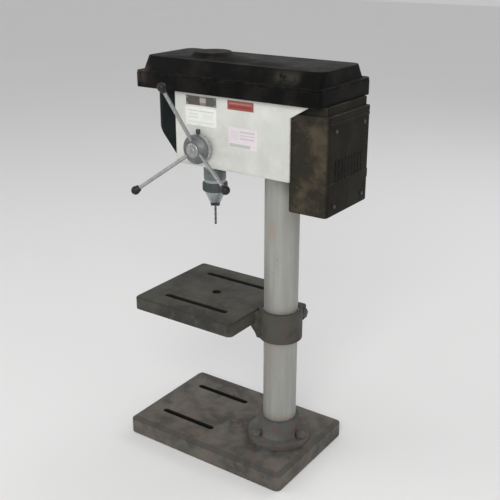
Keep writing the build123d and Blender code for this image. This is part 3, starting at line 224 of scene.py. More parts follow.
def ground_column_steel():
    """A ground steel tube, with faint turning marks, streaks down its length and a warm stain."""
    finish = Finish("ground_column_steel", (0.36, 0.36, 0.33), 0.5, 0.3, 0.3)
    streak = finish.patches(0.009, 3, 0.6, stretch=(1, 1, 12))
    blotch = finish.patches(0.03, 3, 0.55, stretch=(1, 1, 2.2), seat=4)
    rings = finish.patches(0.0009, 1, 0.4, stretch=(30, 30, 1), seat=9)
    colour = finish.mixed(streak.step(0.3, 0.72), (0.300, 0.304, 0.283), (0.362, 0.365, 0.336))
    colour = finish.mixed(blotch.step(0.47, 0.7) * 0.6, colour, (0.34, 0.285, 0.245))
    spots = finish.pits(0.011, 2).step(0.16, 0.05) * finish.patches(0.05, 2, seat=8).step(0.5, 0.62)
    colour = finish.mixed(spots * 0.5, colour, (0.2, 0.15, 0.11))
    low = finish.along(2).step(0.075, 0.055)
    colour = finish.mixed(low * 0.6, colour, (0.2, 0.15, 0.12))
    return finish.paint(colour, 0.42 + streak * 0.12 + blotch * 0.12, height=rings + blotch * 0.4,
                        depth=0.00004, strength=0.2)


def cream_enamel():
    """Off-white enamel over the head casting: slightly waved, scuffed, with grime in the corners and painted shade
    on the faces that look down.
    """
    finish = Finish("cream_enamel", (0.70, 0.705, 0.66), 0.36, 0.0, 0.45)
    wide = finish.patches(0.05, 3, 0.55)
    scuff = finish.patches(0.0028, 3, 0.7, stretch=(1, 5, 1), seat=5)
    cloud = finish.patches(0.016, 3, 0.6, seat=8)
    colour = finish.mixed(wide.step(0.35, 0.68), (0.59, 0.602, 0.57), (0.70, 0.70, 0.655))
    colour = finish.mixed(cloud.step(0.5, 0.72) * 0.5, colour, (0.58, 0.55, 0.525))
    colour = finish.mixed(scuff.step(0.66, 0.78) * 0.3, colour, (0.42, 0.41, 0.38))
    grime = finish.edges(0.003) * finish.patches(0.008, 3, 0.6, seat=2).step(0.38, 0.62)
    colour = finish.mixed(grime * 0.55, colour, (0.30, 0.28, 0.25))
    # Faces that look down are painted darker: painted shade.
    underside_shade = finish.facing(2).step(-0.3, -0.9)
    colour = finish.mixed(underside_shade * 0.25, colour, (0.4, 0.39, 0.36))
    peel = finish.patches(0.0022, 2, 0.5, seat=3) + wide * 1.5
    return finish.paint(colour, 0.30 + cloud * 0.2 + grime * 0.25, height=peel, depth=0.00016, strength=0.3)


def black_enamel(name, ground, worn, cool, worn_amount=0.6, seat=0.0, shine=0.14, rough=0.4, rear_shade=0.0,
                 rubbed=()):
    """Near-black enamel on sheet steel, rubbed brown and olive, with paler worn edges. rear_shade is how much
    darker its back is painted, as painted shade; a rubbed place is (y, z, half length, half height, colour)."""
    finish = Finish(name, ground, rough, 0.0, shine)
    wide = finish.patches(0.036, 4, 0.6, seat=seat)
    small = finish.patches(0.012, 3, 0.6, seat=seat + 6)
    colour = finish.mixed((wide.step(0.44, 0.68) * worn_amount).least(1.0), ground, worn)
    colour = finish.mixed(small.step(0.54, 0.72) * 0.5, colour, cool)
    rub = finish.patches(0.0022, 3, 0.7, stretch=(1, 4, 1), seat=seat + 2).step(0.6, 0.76)
    colour = finish.mixed(rub * 0.35, colour, tuple(c * 2.4 for c in worn))
    for y, z, long, high, tone in rubbed:
        colour = finish.mixed(finish.patch((y, z), (long, high), 0.006) * small.step(0.28, 0.5) * 0.8, colour, tone)
    # Faces that look to +Y, the back, are painted darker: painted shade.
    if rear_shade:
        colour = finish.mixed(finish.facing(1).step(0.3, 0.9) * rear_shade, colour, tuple(c * 0.35 for c in ground))
    edge = finish.edges(0.0016) * finish.patches(0.007, 3, 0.6, seat=seat + 4).step(0.42, 0.66)
    colour = finish.mixed(edge * 0.55, colour, (0.085, 0.075, 0.065))
    dust = finish.facing(2).step(0.75, 1.0) * finish.patches(0.02, 4, 0.7, seat=seat + 9).step(0.4, 0.8)
    colour = finish.mixed(dust * 0.18, colour, (0.16, 0.15, 0.13))
    skin = finish.patches(0.0018, 2, 0.6, seat=seat + 1) + wide * 1.4
    return finish.paint(colour, rough - 0.06 + small * 0.22 + edge * 0.1, height=skin, depth=0.00014,
                        strength=0.3)


def turned_steel(name, colour, axis, rough=0.3, metallic=0.8, tint=None, seat=0.0):
    """Turned or milled steel: fine tool marks across its axis, with a film of oil and stain."""
    finish = Finish(name, colour, rough, metallic, 0.5)
    long_way = [24, 24, 24]
    long_way[axis] = 1
    marks = finish.patches(0.0006, 2, 0.5, stretch=tuple(long_way), seat=seat)
    stain = finish.patches(0.009, 4, 0.6, seat=seat + 4)
    shade = finish.mixed(marks.step(0.3, 0.7), tuple(c * 0.82 for c in colour), tuple(c * 1.12 for c in colour))
    shade = finish.mixed(stain.step(0.52, 0.74) * 0.6, shade, tint or tuple(c * 0.55 for c in colour))
    edge = finish.edges(0.0008)
    shade = finish.mixed(edge * 0.35, shade, tuple(min(1.0, c * 1.5) for c in colour))
    return finish.paint(shade, rough + stain * 0.22 - 0.06, height=marks, depth=0.00005, strength=0.35)


def moulded_plastic(name, colour, rough=0.42, seat=0.0):
    """Moulded plastic or painted rubber, with a fine satin grain and dulled edges."""
    finish = Finish(name, colour, rough, 0.0, 0.35)
    grain = finish.patches(0.0007, 2, 0.6, seat=seat)
    cloud = finish.patches(0.007, 3, 0.6, seat=seat + 2)
    shade = finish.mixed(cloud.step(0.35, 0.7), tuple(c * 0.8 for c in colour),
                         tuple(min(1.0, c * 1.2) for c in colour))
    edge = finish.edges(0.0009)
    shade = finish.mixed(edge * 0.3, shade, tuple(min(1.0, c * 1.6 + 0.02) for c in colour))
    return finish.paint(shade, rough - 0.05 + cloud * 0.18, height=grain + cloud * 0.6, depth=0.00007,
                        strength=0.35)


def printed_sticker(name, ground, colour_blocks, seat=0.0):
    """A sticker whose plain blocks of colour are (centre y, centre z, half width, half height, colour): print, and
    on the warning label a painted highlight.
    """
    finish = Finish(name, ground, 0.4, 0.0, 0.4)
    fade = finish.patches(0.006, 4, 0.6, seat=seat)
    shade = finish.mixed(fade.step(0.4, 0.75) * 0.35, ground, tuple(c * 0.8 for c in ground))
    for y, z, wide, high, block_colour in colour_blocks:
        shade = finish.mixed(finish.patch((y, z), (wide, high)) * (0.8 + fade * 0.3), shade, block_colour)
    scratch = finish.patches(0.0012, 3, 0.7, stretch=(1, 6, 1), seat=seat + 5).step(0.66, 0.78)
    shade = finish.mixed(scratch * 0.3, shade, (0.6, 0.6, 0.57))
    return finish.paint(shade, 0.34 + fade * 0.2, height=fade, depth=0.00006, strength=0.2)


def copper_winding():
    """Lacquered copper wire, wound side by side."""
    finish = Finish("copper_winding", (0.42, 0.17, 0.06), 0.35, 0.5, 0.5)
    turns = ((finish.along(2) * 5200.0).wave() + 1) * 0.5
    stain = finish.patches(0.008, 3, 0.6)
    shade = finish.mixed(turns, (0.2, 0.07, 0.03), (0.5, 0.21, 0.08))
    shade = finish.mixed(stain.step(0.5, 0.75) * 0.5, shade, (0.15, 0.08, 0.04))
    return finish.paint(shade, 0.3 + stain * 0.2, height=turns, depth=0.0003, strength=0.5)


def stacked_laminations():
    """The stator's thin steel sheets, seen on edge."""
    finish = Finish("stacked_laminations", (0.2, 0.19, 0.18), 0.5, 0.6, 0.5)
    sheets = ((finish.along(2) * 9000.0).wave() + 1) * 0.5
    rust = finish.patches(0.01, 4, 0.65)
    shade = finish.mixed(sheets, (0.1, 0.095, 0.09), (0.26, 0.25, 0.24))
    shade = finish.mixed(rust.step(0.5, 0.7) * 0.6, shade, (0.16, 0.09, 0.05))
    return finish.paint(shade, 0.45 + rust * 0.2, height=sheets, depth=0.0002, strength=0.4)


def belt_rubber():
    finish = Finish("belt_rubber", (0.02, 0.02, 0.021), 0.7, 0.0, 0.3)
    weave = ((finish.along(1) * 4200.0).wave() * (finish.along(0) * 4200.0).wave() + 1) * 0.5
    dust = finish.patches(0.012, 4, 0.6)
    shade = finish.mixed(dust.step(0.45, 0.75) * 0.6, (0.016, 0.016, 0.017), (0.07, 0.068, 0.064))
    return finish.paint(shade, 0.62 + dust * 0.15, height=weave + dust, depth=0.00015, strength=0.4)


IRON = dict(
    base=sand_cast_iron("iron_base", (0.135, 0.122, 0.102), (0.052, 0.050, 0.045), (0.130, 0.096, 0.080), 0.9, 1.0,
                        [(x, -0.132, 0.0052, 0.0475, 0.0248) for x in (-0.043, 0.043)]),
    table=sand_cast_iron("iron_table", (0.064, 0.062, 0.049), (0.024, 0.024, 0.020), (0.072, 0.055, 0.044), 0.9,
                         20.0, [(x, -0.108, 0.0052, 0.0545, 0.2194) for x in (-0.048, 0.048)]
                         + [(0.0, -0.108, 0.0068, 0.0068, 0.2194)]),
    flange=sand_cast_iron("iron_flange", (0.112, 0.112, 0.107), (0.066, 0.066, 0.064), (0.128, 0.072, 0.058), 0.9,
                          40.0),
)
COLUMN = ground_column_steel()
CREAM = cream_enamel()
BLACK = dict(
    cover=black_enamel("black_cover", (0.0025, 0.0027, 0.0025), (0.014, 0.012, 0.010), (0.008, 0.006, 0.009), 0.75,
                       0.0, 0.08, 0.5, 0.0, [(-0.180, 0.527, 0.010, 0.010, (0.050, 0.036, 0.033)),
                                             (0.036, 0.541, 0.016, 0.006, (0.042, 0.041, 0.032))]),
    nose=black_enamel("black_nose", (0.006, 0.010, 0.010), (0.015, 0.018, 0.017), (0.008, 0.015, 0.016), 0.5,
                      15.0, 0.08, 0.45),
    motor=black_enamel("black_motor", (0.027, 0.024, 0.018), (0.078, 0.062, 0.042), (0.020, 0.024, 0.019), 0.9,
                       30.0, 0.08, 0.5, 0.8),
)
BRIGHT = turned_steel("bright_steel", (0.46, 0.47, 0.46), 2, 0.3, 0.75, (0.3, 0.28, 0.25), 2.0)
SPINDLE_STEEL = turned_steel("spindle_steel", (0.5, 0.5, 0.49), 2, 0.26, 0.85, (0.3, 0.27, 0.22), 5.0)
HUB_STEEL = turned_steel("hub_steel", (0.165, 0.174, 0.176), 0, 0.42, 0.5, (0.13, 0.135, 0.14), 8.0)
ROD_STEEL = turned_steel("rod_steel", (0.36, 0.365, 0.36), 0, 0.32, 0.7, (0.27, 0.26, 0.25), 9.0)
CHUCK_GREY = turned_steel("chuck_grey", (0.165, 0.185, 0.193), 2, 0.34, 0.6, (0.15, 0.17, 0.18), 11.0)
CHUCK_CONE = turned_steel("chuck_cone", (0.34, 0.385, 0.395), 2, 0.28, 0.6, (0.22, 0.26, 0.27), 12.0)
CHUCK_RING = turned_steel("chuck_ring", (0.075, 0.092, 0.087), 2, 0.42, 0.5, (0.075, 0.06, 0.04), 13.0)
DARK = turned_steel("blackened_steel", (0.06, 0.06, 0.06), 2, 0.45, 0.5, (0.09, 0.07, 0.055), 14.0)
ZINC = turned_steel("zinc_plate", (0.44, 0.43, 0.39), 2, 0.36, 0.7, (0.34, 0.27, 0.2), 16.0)
ALLOY = turned_steel("cast_alloy", (0.5, 0.51, 0.52), 2, 0.34, 0.7, (0.34, 0.34, 0.34), 17.0)
BIT = turned_steel("bit_steel", (0.12, 0.125, 0.13), 2, 0.34, 0.6, (0.08, 0.07, 0.055), 18.0)
RUBBER = belt_rubber()
BLACK_PLASTIC = moulded_plastic("black_plastic", (0.011, 0.012, 0.014), 0.42, 1.0)
GREY_PLASTIC = moulded_plastic("switch_grey", (0.16, 0.165, 0.17), 0.5, 3.0)
GREEN_PLASTIC = moulded_plastic("start_green", (0.03, 0.22, 0.07), 0.36, 5.0)
RED_PLASTIC = moulded_plastic("stop_red", (0.42, 0.025, 0.02), 0.36, 7.0)
WINDING = copper_winding()
LAMINATIONS = stacked_laminations()


def sticker_for(node, ground, blocks, seat):
    """Blocks are given as parts of the sticker's own width and height, from its middle."""
    low, high = (Vector(c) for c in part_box(node))
    mid, half = (low + high) / 2, (high - low) / 2
    colour_blocks = [(mid.y + half.y * y, mid.z + half.z * z, half.y * w, half.z * h, block_colour)
            for y, z, w, h, block_colour in blocks]
    return printed_sticker(node + "_print", ground, colour_blocks, seat)


STICKERS = {
    "nameplate": sticker_for("nameplate", (0.21, 0.195, 0.188), [
        (-0.52, 0.0, 0.46, 0.9, (0.075, 0.068, 0.065)), (0.64, 0.0, 0.33, 0.9, (0.085, 0.08, 0.078)),
        (0.12, 0.15, 0.2, 0.5, (0.4, 0.35, 0.335))], 1.0),
    "data_label": sticker_for("data_label", (0.80, 0.815, 0.77), [
        (0.0, 0.62, 0.84, 0.05, (0.55, 0.55, 0.53)), (-0.5, 0.25, 0.32, 0.05, (0.62, 0.63, 0.6)),
        (-0.5, -0.1, 0.32, 0.05, (0.62, 0.63, 0.6)), (0.45, 0.08, 0.34, 0.3, (0.72, 0.74, 0.72)),
        (0.0, -0.6, 0.84, 0.04, (0.6, 0.61, 0.58))], 2.0),
    # The warning label's lighter upper band is a painted highlight; its other blocks are print.
    "warning_label": sticker_for("warning_label", (0.31, 0.075, 0.06), [
        (0.0, -0.3, 0.86, 0.28, (0.24, 0.035, 0.03)), (0.0, 0.42, 0.86, 0.16, (0.40, 0.17, 0.15))], 3.0),
    "speed_label": sticker_for("speed_label", (0.72, 0.655, 0.69), [
        (-0.2, -0.72, 0.72, 0.16, (0.42, 0.48, 0.44)), (-0.55, 0.28, 0.28, 0.42, (0.66, 0.6, 0.62)),
        (0.3, 0.62, 0.5, 0.07, (0.5, 0.47, 0.48)), (0.3, 0.3, 0.5, 0.07, (0.56, 0.52, 0.54)),
        (0.3, 0.0, 0.5, 0.07, (0.52, 0.49, 0.5))], 4.0),
}


# ---------------------------------------------------------------- making pieces

BODY_OF = {node: body for body, nodes in frame["record"]["behaviour"]["bodies"].items() for node in nodes}


def shown(name, mesh, body, material=None, replaced=(), crease=38):
    """A finished mesh as a piece of the machine."""
    if material is not None:
        mesh.materials.clear()
        mesh.materials.append(material)
    mesh.shade_smooth()
    mesh.set_sharp_from_angle(angle=radians(crease))
    piece = bpy.data.objects.new(name, mesh)
    bpy.context.scene.collection.objects.link(piece)
    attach(piece, body)
    if replaced:
        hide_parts(*replaced)
    return piece


def evaluated(piece, name):
    """The piece's mesh with its modifiers worked in; the piece itself is removed."""
    bpy.context.view_layer.update()
    ready = piece.evaluated_get(bpy.context.evaluated_depsgraph_get())
    mesh = bpy.data.meshes.new_from_object(ready)
    mesh.name = name
    bpy.data.objects.remove(piece)
    return mesh


def softened(node, material, widths, segments=3, crease=38, least=28):
    """A copy of a model piece with rounded edges. widths gives an edge's rounding from its middle point,
    or is one number for them all."""
    source = frame["nodes"][node].data
    work = bmesh.new()
    work.from_mesh(source)
    bmesh.ops.remove_doubles(work, verts=work.verts, dist=2e-6)
    bmesh.ops.dissolve_limit(work, angle_limit=radians(0.8), verts=work.verts, edges=work.edges)
    layer = work.edges.layers.float.new("bevel_weight_edge")
    largest = 1e-6
    wanted = {}
    for edge in work.edges:
        if len(edge.link_faces) != 2:
            continue
        turn = edge.calc_face_angle(0)
        if turn < radians(least):
            continue
        middle = (edge.verts[0].co + edge.verts[1].co) / 2
        width = widths(middle) if callable(widths) else widths
        if width > 0:
            wanted[edge] = width
            largest = max(largest, width)
    for edge, width in wanted.items():
        edge[layer] = width / largest
    mesh = bpy.data.meshes.new(node + "_work")
    work.to_mesh(mesh)
    work.free()
    piece = bpy.data.objects.new(node + "_work", mesh)
    bpy.context.scene.collection.objects.link(piece)
    bevel = piece.modifiers.new("edges", "BEVEL")
    bevel.width = largest
    bevel.segments = segments
    bevel.limit_method = "WEIGHT"
    bevel.use_clamp_overlap = True
    bevel.harden_normals = False
    return shown(node + "_soft", evaluated(piece, node + "_soft"), BODY_OF[node], material,
                 (node,), crease)


def finish_node(node, material):
    """A model piece that keeps its own mesh gets its finish."""
    data = frame["nodes"][node].data
    if len(data.materials):
        for index in range(len(data.materials)):
            frame["nodes"][node].material_slots[index].material = material
    else:
        data.materials.append(material)


# ---------------------------------------------------------------- repeated things

class Growth:
    """A Geometry Nodes tree while it is made, with named inputs for its sizes."""

    def __init__(self, name, takes_mesh=False):
        self.name = name
        self.tree = bpy.data.node_groups.new(name, "GeometryNodeTree")
        if takes_mesh:
            self.tree.interface.new_socket("Geometry", in_out="INPUT", socket_type="NodeSocketGeometry")
        self.tree.interface.new_socket("Geometry", in_out="OUTPUT", socket_type="NodeSocketGeometry")
        self.values = {}
        self.given = self.tree.nodes.new("NodeGroupInput")
        self.result = self.tree.nodes.new("NodeGroupOutput")

    def size(self, name, value):
        kind = {int: "NodeSocketInt", float: "NodeSocketFloat", tuple: "NodeSocketVector"}[type(value)]
        socket = self.tree.interface.new_socket(name, in_out="INPUT", socket_type=kind)
        self.values[socket.identifier] = value
        return next(s for s in self.given.outputs if s.identifier == socket.identifier)

    def node(self, kind, settings, sockets):
        made = self.tree.nodes.new(kind)
        for name, value in settings.items():
            setattr(made, name, value)
        for key, value in sockets.items():
            if isinstance(value, bpy.types.NodeSocket):
                self.tree.links.new(value, made.inputs[key])
            else:
                made.inputs[key].default_value = value
        return made.outputs[0]

    def joined(self, *parts):
        made = self.tree.nodes.new("GeometryNodeJoinGeometry")
        for part in parts:
            self.tree.links.new(part, made.inputs[0])
        return made.outputs[0]

    def cut(self, body, tool):
        made = self.tree.nodes.new("GeometryNodeMeshBoolean")
        made.operation = "DIFFERENCE"
        self.tree.links.new(body, made.inputs[0])
        self.tree.links.new(tool, made.inputs[1])
        return made.outputs[0]

    def grown(self, geometry, material, points=None):
        """Ends the tree, works it out and gives a plain mesh."""
        real = self.node("GeometryNodeRealizeInstances", {}, {0: geometry})
        painted = self.node("GeometryNodeSetMaterial", {}, {0: real, "Material": material})
        self.tree.links.new(painted, self.result.inputs[0])
        mesh = bpy.data.meshes.new(self.name + "_points")
        mesh.from_pydata([tuple(p) for p in (points or [(0, 0, 0)])], [], [])
        piece = bpy.data.objects.new(self.name + "_work", mesh)
        bpy.context.scene.collection.objects.link(piece)
        modifier = piece.modifiers.new("growth", "NODES")
        modifier.node_group = self.tree
        for identifier, value in self.values.items():
            modifier[identifier] = value
        made = evaluated(piece, self.name)
        work = bmesh.new()
        work.from_mesh(made)
        bmesh.ops.recalc_face_normals(work, faces=work.faces)
        work.to_mesh(made)
        work.free()
        return made


def ring_of_ridges(name, material, count, radius, ridge, centre, turn=(0.0, 0.0, 0.0)):
    """Small ridges round a circle: ridge is how far each stands across, outwards and along the axis."""
    growth = Growth(name)
    circle = growth.node("GeometryNodeMeshCircle", {}, {
        "Vertices": growth.size("Count", count), "Radius": growth.size("Radius", radius)})
    block = growth.node("GeometryNodeMeshCube", {}, {"Size": growth.size("Ridge", ridge)})
    normal = growth.node("GeometryNodeInputPosition", {}, {})
    facing = growth.node("FunctionNodeAlignRotationToVector", {"axis": "Y"}, {"Vector": normal})
    placed = growth.node("GeometryNodeInstanceOnPoints", {}, {
        "Points": circle, "Instance": block, "Rotation": facing})
    moved = growth.node("GeometryNodeTransform", {}, {
        "Geometry": placed, "Translation": growth.size("Centre", centre),
        "Rotation": growth.size("Turn", turn)})
    return growth.grown(moved, material)


def screw_heads(name, material, places, radius, height, turn, slot_width=0.0):
    """Domed screw heads with a straight slot, one at each place; turn faces them."""
    growth = Growth(name, takes_mesh=True)
    size = growth.size("Radius", radius)
    tall = growth.size("Height", height)
    barrel = growth.node("GeometryNodeMeshCylinder", {}, {"Vertices": 28, "Radius": size, "Depth": tall})
    crown = growth.node("GeometryNodeMeshCone", {}, {
        "Vertices": 28, "Radius Top": radius * 0.72, "Radius Bottom": size, "Depth": height * 0.45})
    crown = growth.node("GeometryNodeTransform", {}, {
        "Geometry": crown, "Translation": (0.0, 0.0, height * 0.5)})
    head = growth.joined(barrel, crown)
    if slot_width:
        cutter = growth.node("GeometryNodeMeshCube", {}, {"Size": (radius * 3, slot_width, height * 0.9)})
        cutter = growth.node("GeometryNodeTransform", {}, {
            "Geometry": cutter, "Translation": (0.0, 0.0, height * 0.95), "Rotation": (0.0, 0.0, 0.6)})
        head = growth.cut(head, cutter)
    head = growth.node("GeometryNodeTransform", {}, {"Geometry": head, "Rotation": growth.size("Turn", turn)})
    placed = growth.node("GeometryNodeInstanceOnPoints", {}, {
        "Points": growth.given.outputs[0], "Instance": head})
    return growth.grown(placed, material, places)


def row_of_bars(name, material, count, start, step, bar):
    """Equal bars in a row: louvres, ribs or gauge marks."""
    growth = Growth(name)
    line = growth.node("GeometryNodeMeshLine", {"mode": "OFFSET"}, {
        "Count": growth.size("Count", count), "Start Location": growth.size("Start", start),
        "Offset": growth.size("Step", step)})
    block = growth.node("GeometryNodeMeshCube", {}, {"Size": growth.size("Bar", bar)})
    placed = growth.node("GeometryNodeInstanceOnPoints", {}, {"Points": line, "Instance": block})
    return growth.grown(placed, material)


def turned(profile, centre, axis, sides=64):
    """A closed turned shape. profile is (distance along the axis, radius), from end to end."""
    mesh = bpy.data.meshes.new("turned")
    work = bmesh.new()
    spin = {"X": Matrix.Rotation(pi / 2, 3, "Y"), "Y": Matrix.Rotation(-pi / 2, 3, "X"),
            "Z": Matrix.Identity(3)}[axis]
    rings = []
    for along, radius in profile:
        if radius <= 0:
            rings.append([work.verts.new(spin @ Vector((0, 0, along)) + Vector(centre))])
        else:
            rings.append([work.verts.new(spin @ Vector((radius * cos(2 * pi * i / sides),
                                                        radius * sin(2 * pi * i / sides), along))
                                         + Vector(centre)) for i in range(sides)])
    for one, two in zip(rings, rings[1:]):
        for i in range(sides):
            j = (i + 1) % sides
            corners = [one[i % len(one)], one[j % len(one)], two[j % len(two)], two[i % len(two)]]
            unique = list(dict.fromkeys(corners))
            if len(unique) > 2:
                work.faces.new(unique)
    for ring in (rings[0], rings[-1]):
        if len(ring) > 1:
            work.faces.new(ring)
    bmesh.ops.recalc_face_normals(work, faces=work.faces)
    work.to_mesh(mesh)
    work.free()
    return mesh


# ---------------------------------------------------------------- camera and light

camera_data = bpy.data.cameras.new("camera")
camera_data.lens = 59.84
camera_data.sensor_width = 36.0
camera = bpy.data.objects.new("camera", camera_data)
bpy.context.scene.collection.objects.link(camera)
azimuth, elevation = radians(124.76), radians(20.73)
back = Vector((sin(azimuth) * cos(elevation), -cos(azimuth) * cos(elevation), sin(elevation)))
aim = Vector((0.0, -0.0507, 0.2955))
camera.location = aim + back * 1.121
camera.rotation_euler = (-back).to_track_quat("-Z", "Y").to_euler()
bpy.context.scene.camera = camera


def soft_light(name, place, target, size, power, tint=(1, 1, 1)):
    data = bpy.data.lights.new(name, "AREA")
    data.shape = "DISK"
    data.size = size
    data.energy = power
    data.color = tint
    lamp = bpy.data.objects.new(name, data)
    lamp.location = place
    lamp.rotation_euler = (Vector(target) - Vector(place)).to_track_quat("-Z", "Y").to_euler()
    bpy.context.scene.collection.objects.link(lamp)


soft_light("key", (1.5, 0.75, 1.3), (0, -0.05, 0.25), 1.1, 17, (1.0, 0.995, 0.98))
soft_light("front", (0.9, -1.5, 1.3), (0, -0.05, 0.25), 1.4, 6)
soft_light("rim", (-1.5, 0.3, 1.6), (0, -0.05, 0.3), 1.4, 7)

world = bpy.data.worlds.new("studio")
world.use_nodes = True
sky = world.node_tree.nodes["Background"]
sky.inputs["Color"].default_value = (1.0, 1.0, 1.0, 1)
sky.inputs["Strength"].default_value = 0.55
bpy.context.scene.world = world
bpy.context.scene.view_settings.view_transform = "Standard"
bpy.context.scene.view_settings.look = "None"


def pale_floor():
    finish = Finish("pale_floor", (0.86, 0.86, 0.86), 0.9, 0.0, 0.1)
    cloud = finish.patches(0.5, 2)
    finish.paint(finish.mixed(cloud, (0.85, 0.85, 0.85), (0.87, 0.87, 0.87)), 0.9)
    mesh = bpy.data.meshes.new("floor")
    mesh.from_pydata([(-8, -8, -0.0005), (8, -8, -0.0005), (8, 8, -0.0005), (-8, 8, -0.0005)], [],
                     [(0, 1, 2, 3)])
    mesh.materials.append(finish.material)
    floor = bpy.data.objects.new("floor", mesh)
    bpy.context.scene.collection.objects.link(floor)


pale_floor()


# ---------------------------------------------------------------- castings and sheet metal

def corners(node):
    low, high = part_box(node)
    return Vector(low), Vector(high)


LID_TOP = 0.549
SPINDLE = Vector((0.0, -0.108))
HEAD_SIDE = 0.055
HEAD_LOW = 0.418


def lid_rounding(middle):
    """The lid's upper edge is well rounded, its hump and rim less."""
    if middle.z > LID_TOP + 0.003:
        return 0.0024
    if abs(middle.z - LID_TOP) < 0.0004 and (middle.xy - SPINDLE).length > 0.034:
        return 0.0045
    return 0.0005 if middle.x > -0.0605 and middle.z < 0.533 else 0.0


softened("belt_lid", BLACK["cover"], lid_rounding, 4)
softened("belt_pan", BLACK["cover"], lambda m: 0.0012 if m.z < 0.5115 and abs(m.x) > 0.04 else 0.0004, 3)
softened("base", IRON["base"], lambda m: 0.0014 if m.z > 0.003 else 0.0006)
softened("column_flange", IRON["flange"], 0.0012)
softened("table", IRON["table"], 0.0011)
softened("head_casting", CREAM,
         lambda m: 0.0012 if abs(abs(m.x) - HEAD_SIDE) < 0.0004 or m.z < HEAD_LOW + 0.0005 else 0.0003)
softened("front_cover", BLACK["nose"], 0.0012)
softened("motor_casing", BLACK["motor"], 0.0009)
softened("motor_top_plate", BLACK["motor"], 0.0012)
softened("feed_hub", HUB_STEEL, 0.0009)
softened("chuck_body", CHUCK_CONE, 0.0004)
softened("chuck_sleeve", CHUCK_RING, 0.0007)
softened("quill", BRIGHT, 0.0003)
softened("spring_cap", ZINC, 0.0014)
softened("switch_plate", GREY_PLASTIC, 0.0008)
softened("start_button", GREEN_PLASTIC, 0.0009)
softened("stop_button", RED_PLASTIC, 0.0012)
softened("tension_knob", BLACK_PLASTIC, 0.0012)
softened("feed_knobs", BLACK_PLASTIC, 0.0012)
softened("clamp_lever", DARK, 0.0008)
softened("clamp_lever_knob", BLACK_PLASTIC, 0.0006)
softened("clamp_bolt", DARK, 0.0006)
softened("flange_bolts", IRON["flange"], 0.0006)
softened("cable_gland", BLACK_PLASTIC, 0.0008)
softened("spring_cap_nut", ZINC, 0.0005)
softened("depth_ring", ALLOY, 0.0005)
softened("spindle_pulley", ALLOY, 0.0004)
softened("motor_pulley", ALLOY, 0.0004)
softened("pulley_nut", ZINC, 0.0005)

for node, material in {
    "column": COLUMN, "table_liner": BRIGHT, "head_set_screws": DARK, "front_cover_screws": DARK,
    "switch_body": GREY_PLASTIC, "spindle_bearings": BRIGHT, "spindle": SPINDLE_STEEL,
    "chuck_jaw_1": DARK, "chuck_jaw_2": DARK, "chuck_jaw_3": DARK, "feed_shaft": SPINDLE_STEEL,
    "feed_rods": ROD_STEEL, "depth_lock_screw": DARK, "return_spring": DARK, "drive_sleeve": SPINDLE_STEEL,
    "drive_bearings": BRIGHT, "v_belt": RUBBER, "pan_screws": ZINC, "lid_hinge_pins": ZINC,
    "stator": LAMINATIONS, "stator_coils": WINDING, "rotor": LAMINATIONS, "motor_shaft": SPINDLE_STEEL,
    "motor_bearings": BRIGHT, "motor_fan": GREY_PLASTIC, "slide_bars": BRIGHT, **STICKERS,
}.items():
    finish_node(node, material)


# ---------------------------------------------------------------- drill, chuck and feed

def twist_drill():
    """A twist drill with two helical flutes, a plain shank and a point."""
    low, high = corners("drill_bit")
    radius = 0.0016
    centre = Vector(((low.x + high.x) / 2, (low.y + high.y) / 2, 0))
    sides, rings = 32, 84
    point = 0.0012
    flute_end, run_out = low.z + 0.036, 0.005
    flute_depth = 0.5 * radius
    flute_turn = 0.0135
    mesh = bpy.data.meshes.new("twist_drill")
    work = bmesh.new()
    tip = work.verts.new((centre.x, centre.y, low.z))
    loops = []
    for k in range(rings + 1):
        z = low.z + point + (high.z - low.z - point) * k / rings
        depth = flute_depth * max(0.0, min(1.0, (flute_end - z) / run_out))
        twist = 2 * pi * (z - low.z) / flute_turn
        loop = []
        for i in range(sides):
            a = 2 * pi * i / sides
            hollow = max(0.0, cos(2 * (a - twist))) ** 1.4
            r = radius - depth * hollow
            loop.append(work.verts.new((centre.x + r * cos(a), centre.y + r * sin(a), z)))
        loops.append(loop)
    for i in range(sides):
        work.faces.new((tip, loops[0][(i + 1) % sides], loops[0][i]))
    for one, two in zip(loops, loops[1:]):
        for i in range(sides):
            j = (i + 1) % sides
            work.faces.new((one[i], one[j], two[j], two[i]))
    work.faces.new(loops[-1])
    bmesh.ops.recalc_face_normals(work, faces=work.faces)
    work.to_mesh(mesh)
    work.free()
    shown("twist_drill", mesh, "spindle", BIT, ("drill_bit",), 50)


twist_drill()

ring_low, ring_high = corners("chuck_sleeve")
ring_r = (ring_high.x - ring_low.x) / 2
shown("chuck_ring_knurl", ring_of_ridges(
    "chuck_ring_knurl", CHUCK_RING, 54, ring_r - 0.0001, (0.0009, 0.0007, ring_high.z - ring_low.z - 0.003),
    (*SPINDLE, (ring_low.z + ring_high.z) / 2)), "chuck_sleeve")

body_low, body_high = corners("chuck_body")
band = [(body_high.z - down, out) for down, out in (
    (0.0010, 0.0148), (0.0016, 0.0151), (0.0150, 0.0151), (0.0156, 0.0148), (0.0156, 0.0140), (0.0010, 0.0140))]
shown("chuck_upper_band", turned(band + band[:1], (*SPINDLE, 0.0), "Z"), "spindle",
      CHUCK_GREY)

hub_low, hub_high = corners("feed_hub")
hub_mid = ((hub_low.y + hub_high.y) / 2, (hub_low.z + hub_high.z) / 2)
cap = [(hub_high.x + proud, out) for proud, out in (
    (-0.0006, 0.0), (-0.0006, 0.0092), (0.0002, 0.0092), (0.0009, 0.0084), (0.0011, 0.0062), (0.0007, 0.0056),
    (0.0007, 0.0034), (0.0013, 0.0028), (0.0015, 0.0))]
shown("hub_end_cap", turned(cap, (0.0, *hub_mid), "X"), "feed", ROD_STEEL)

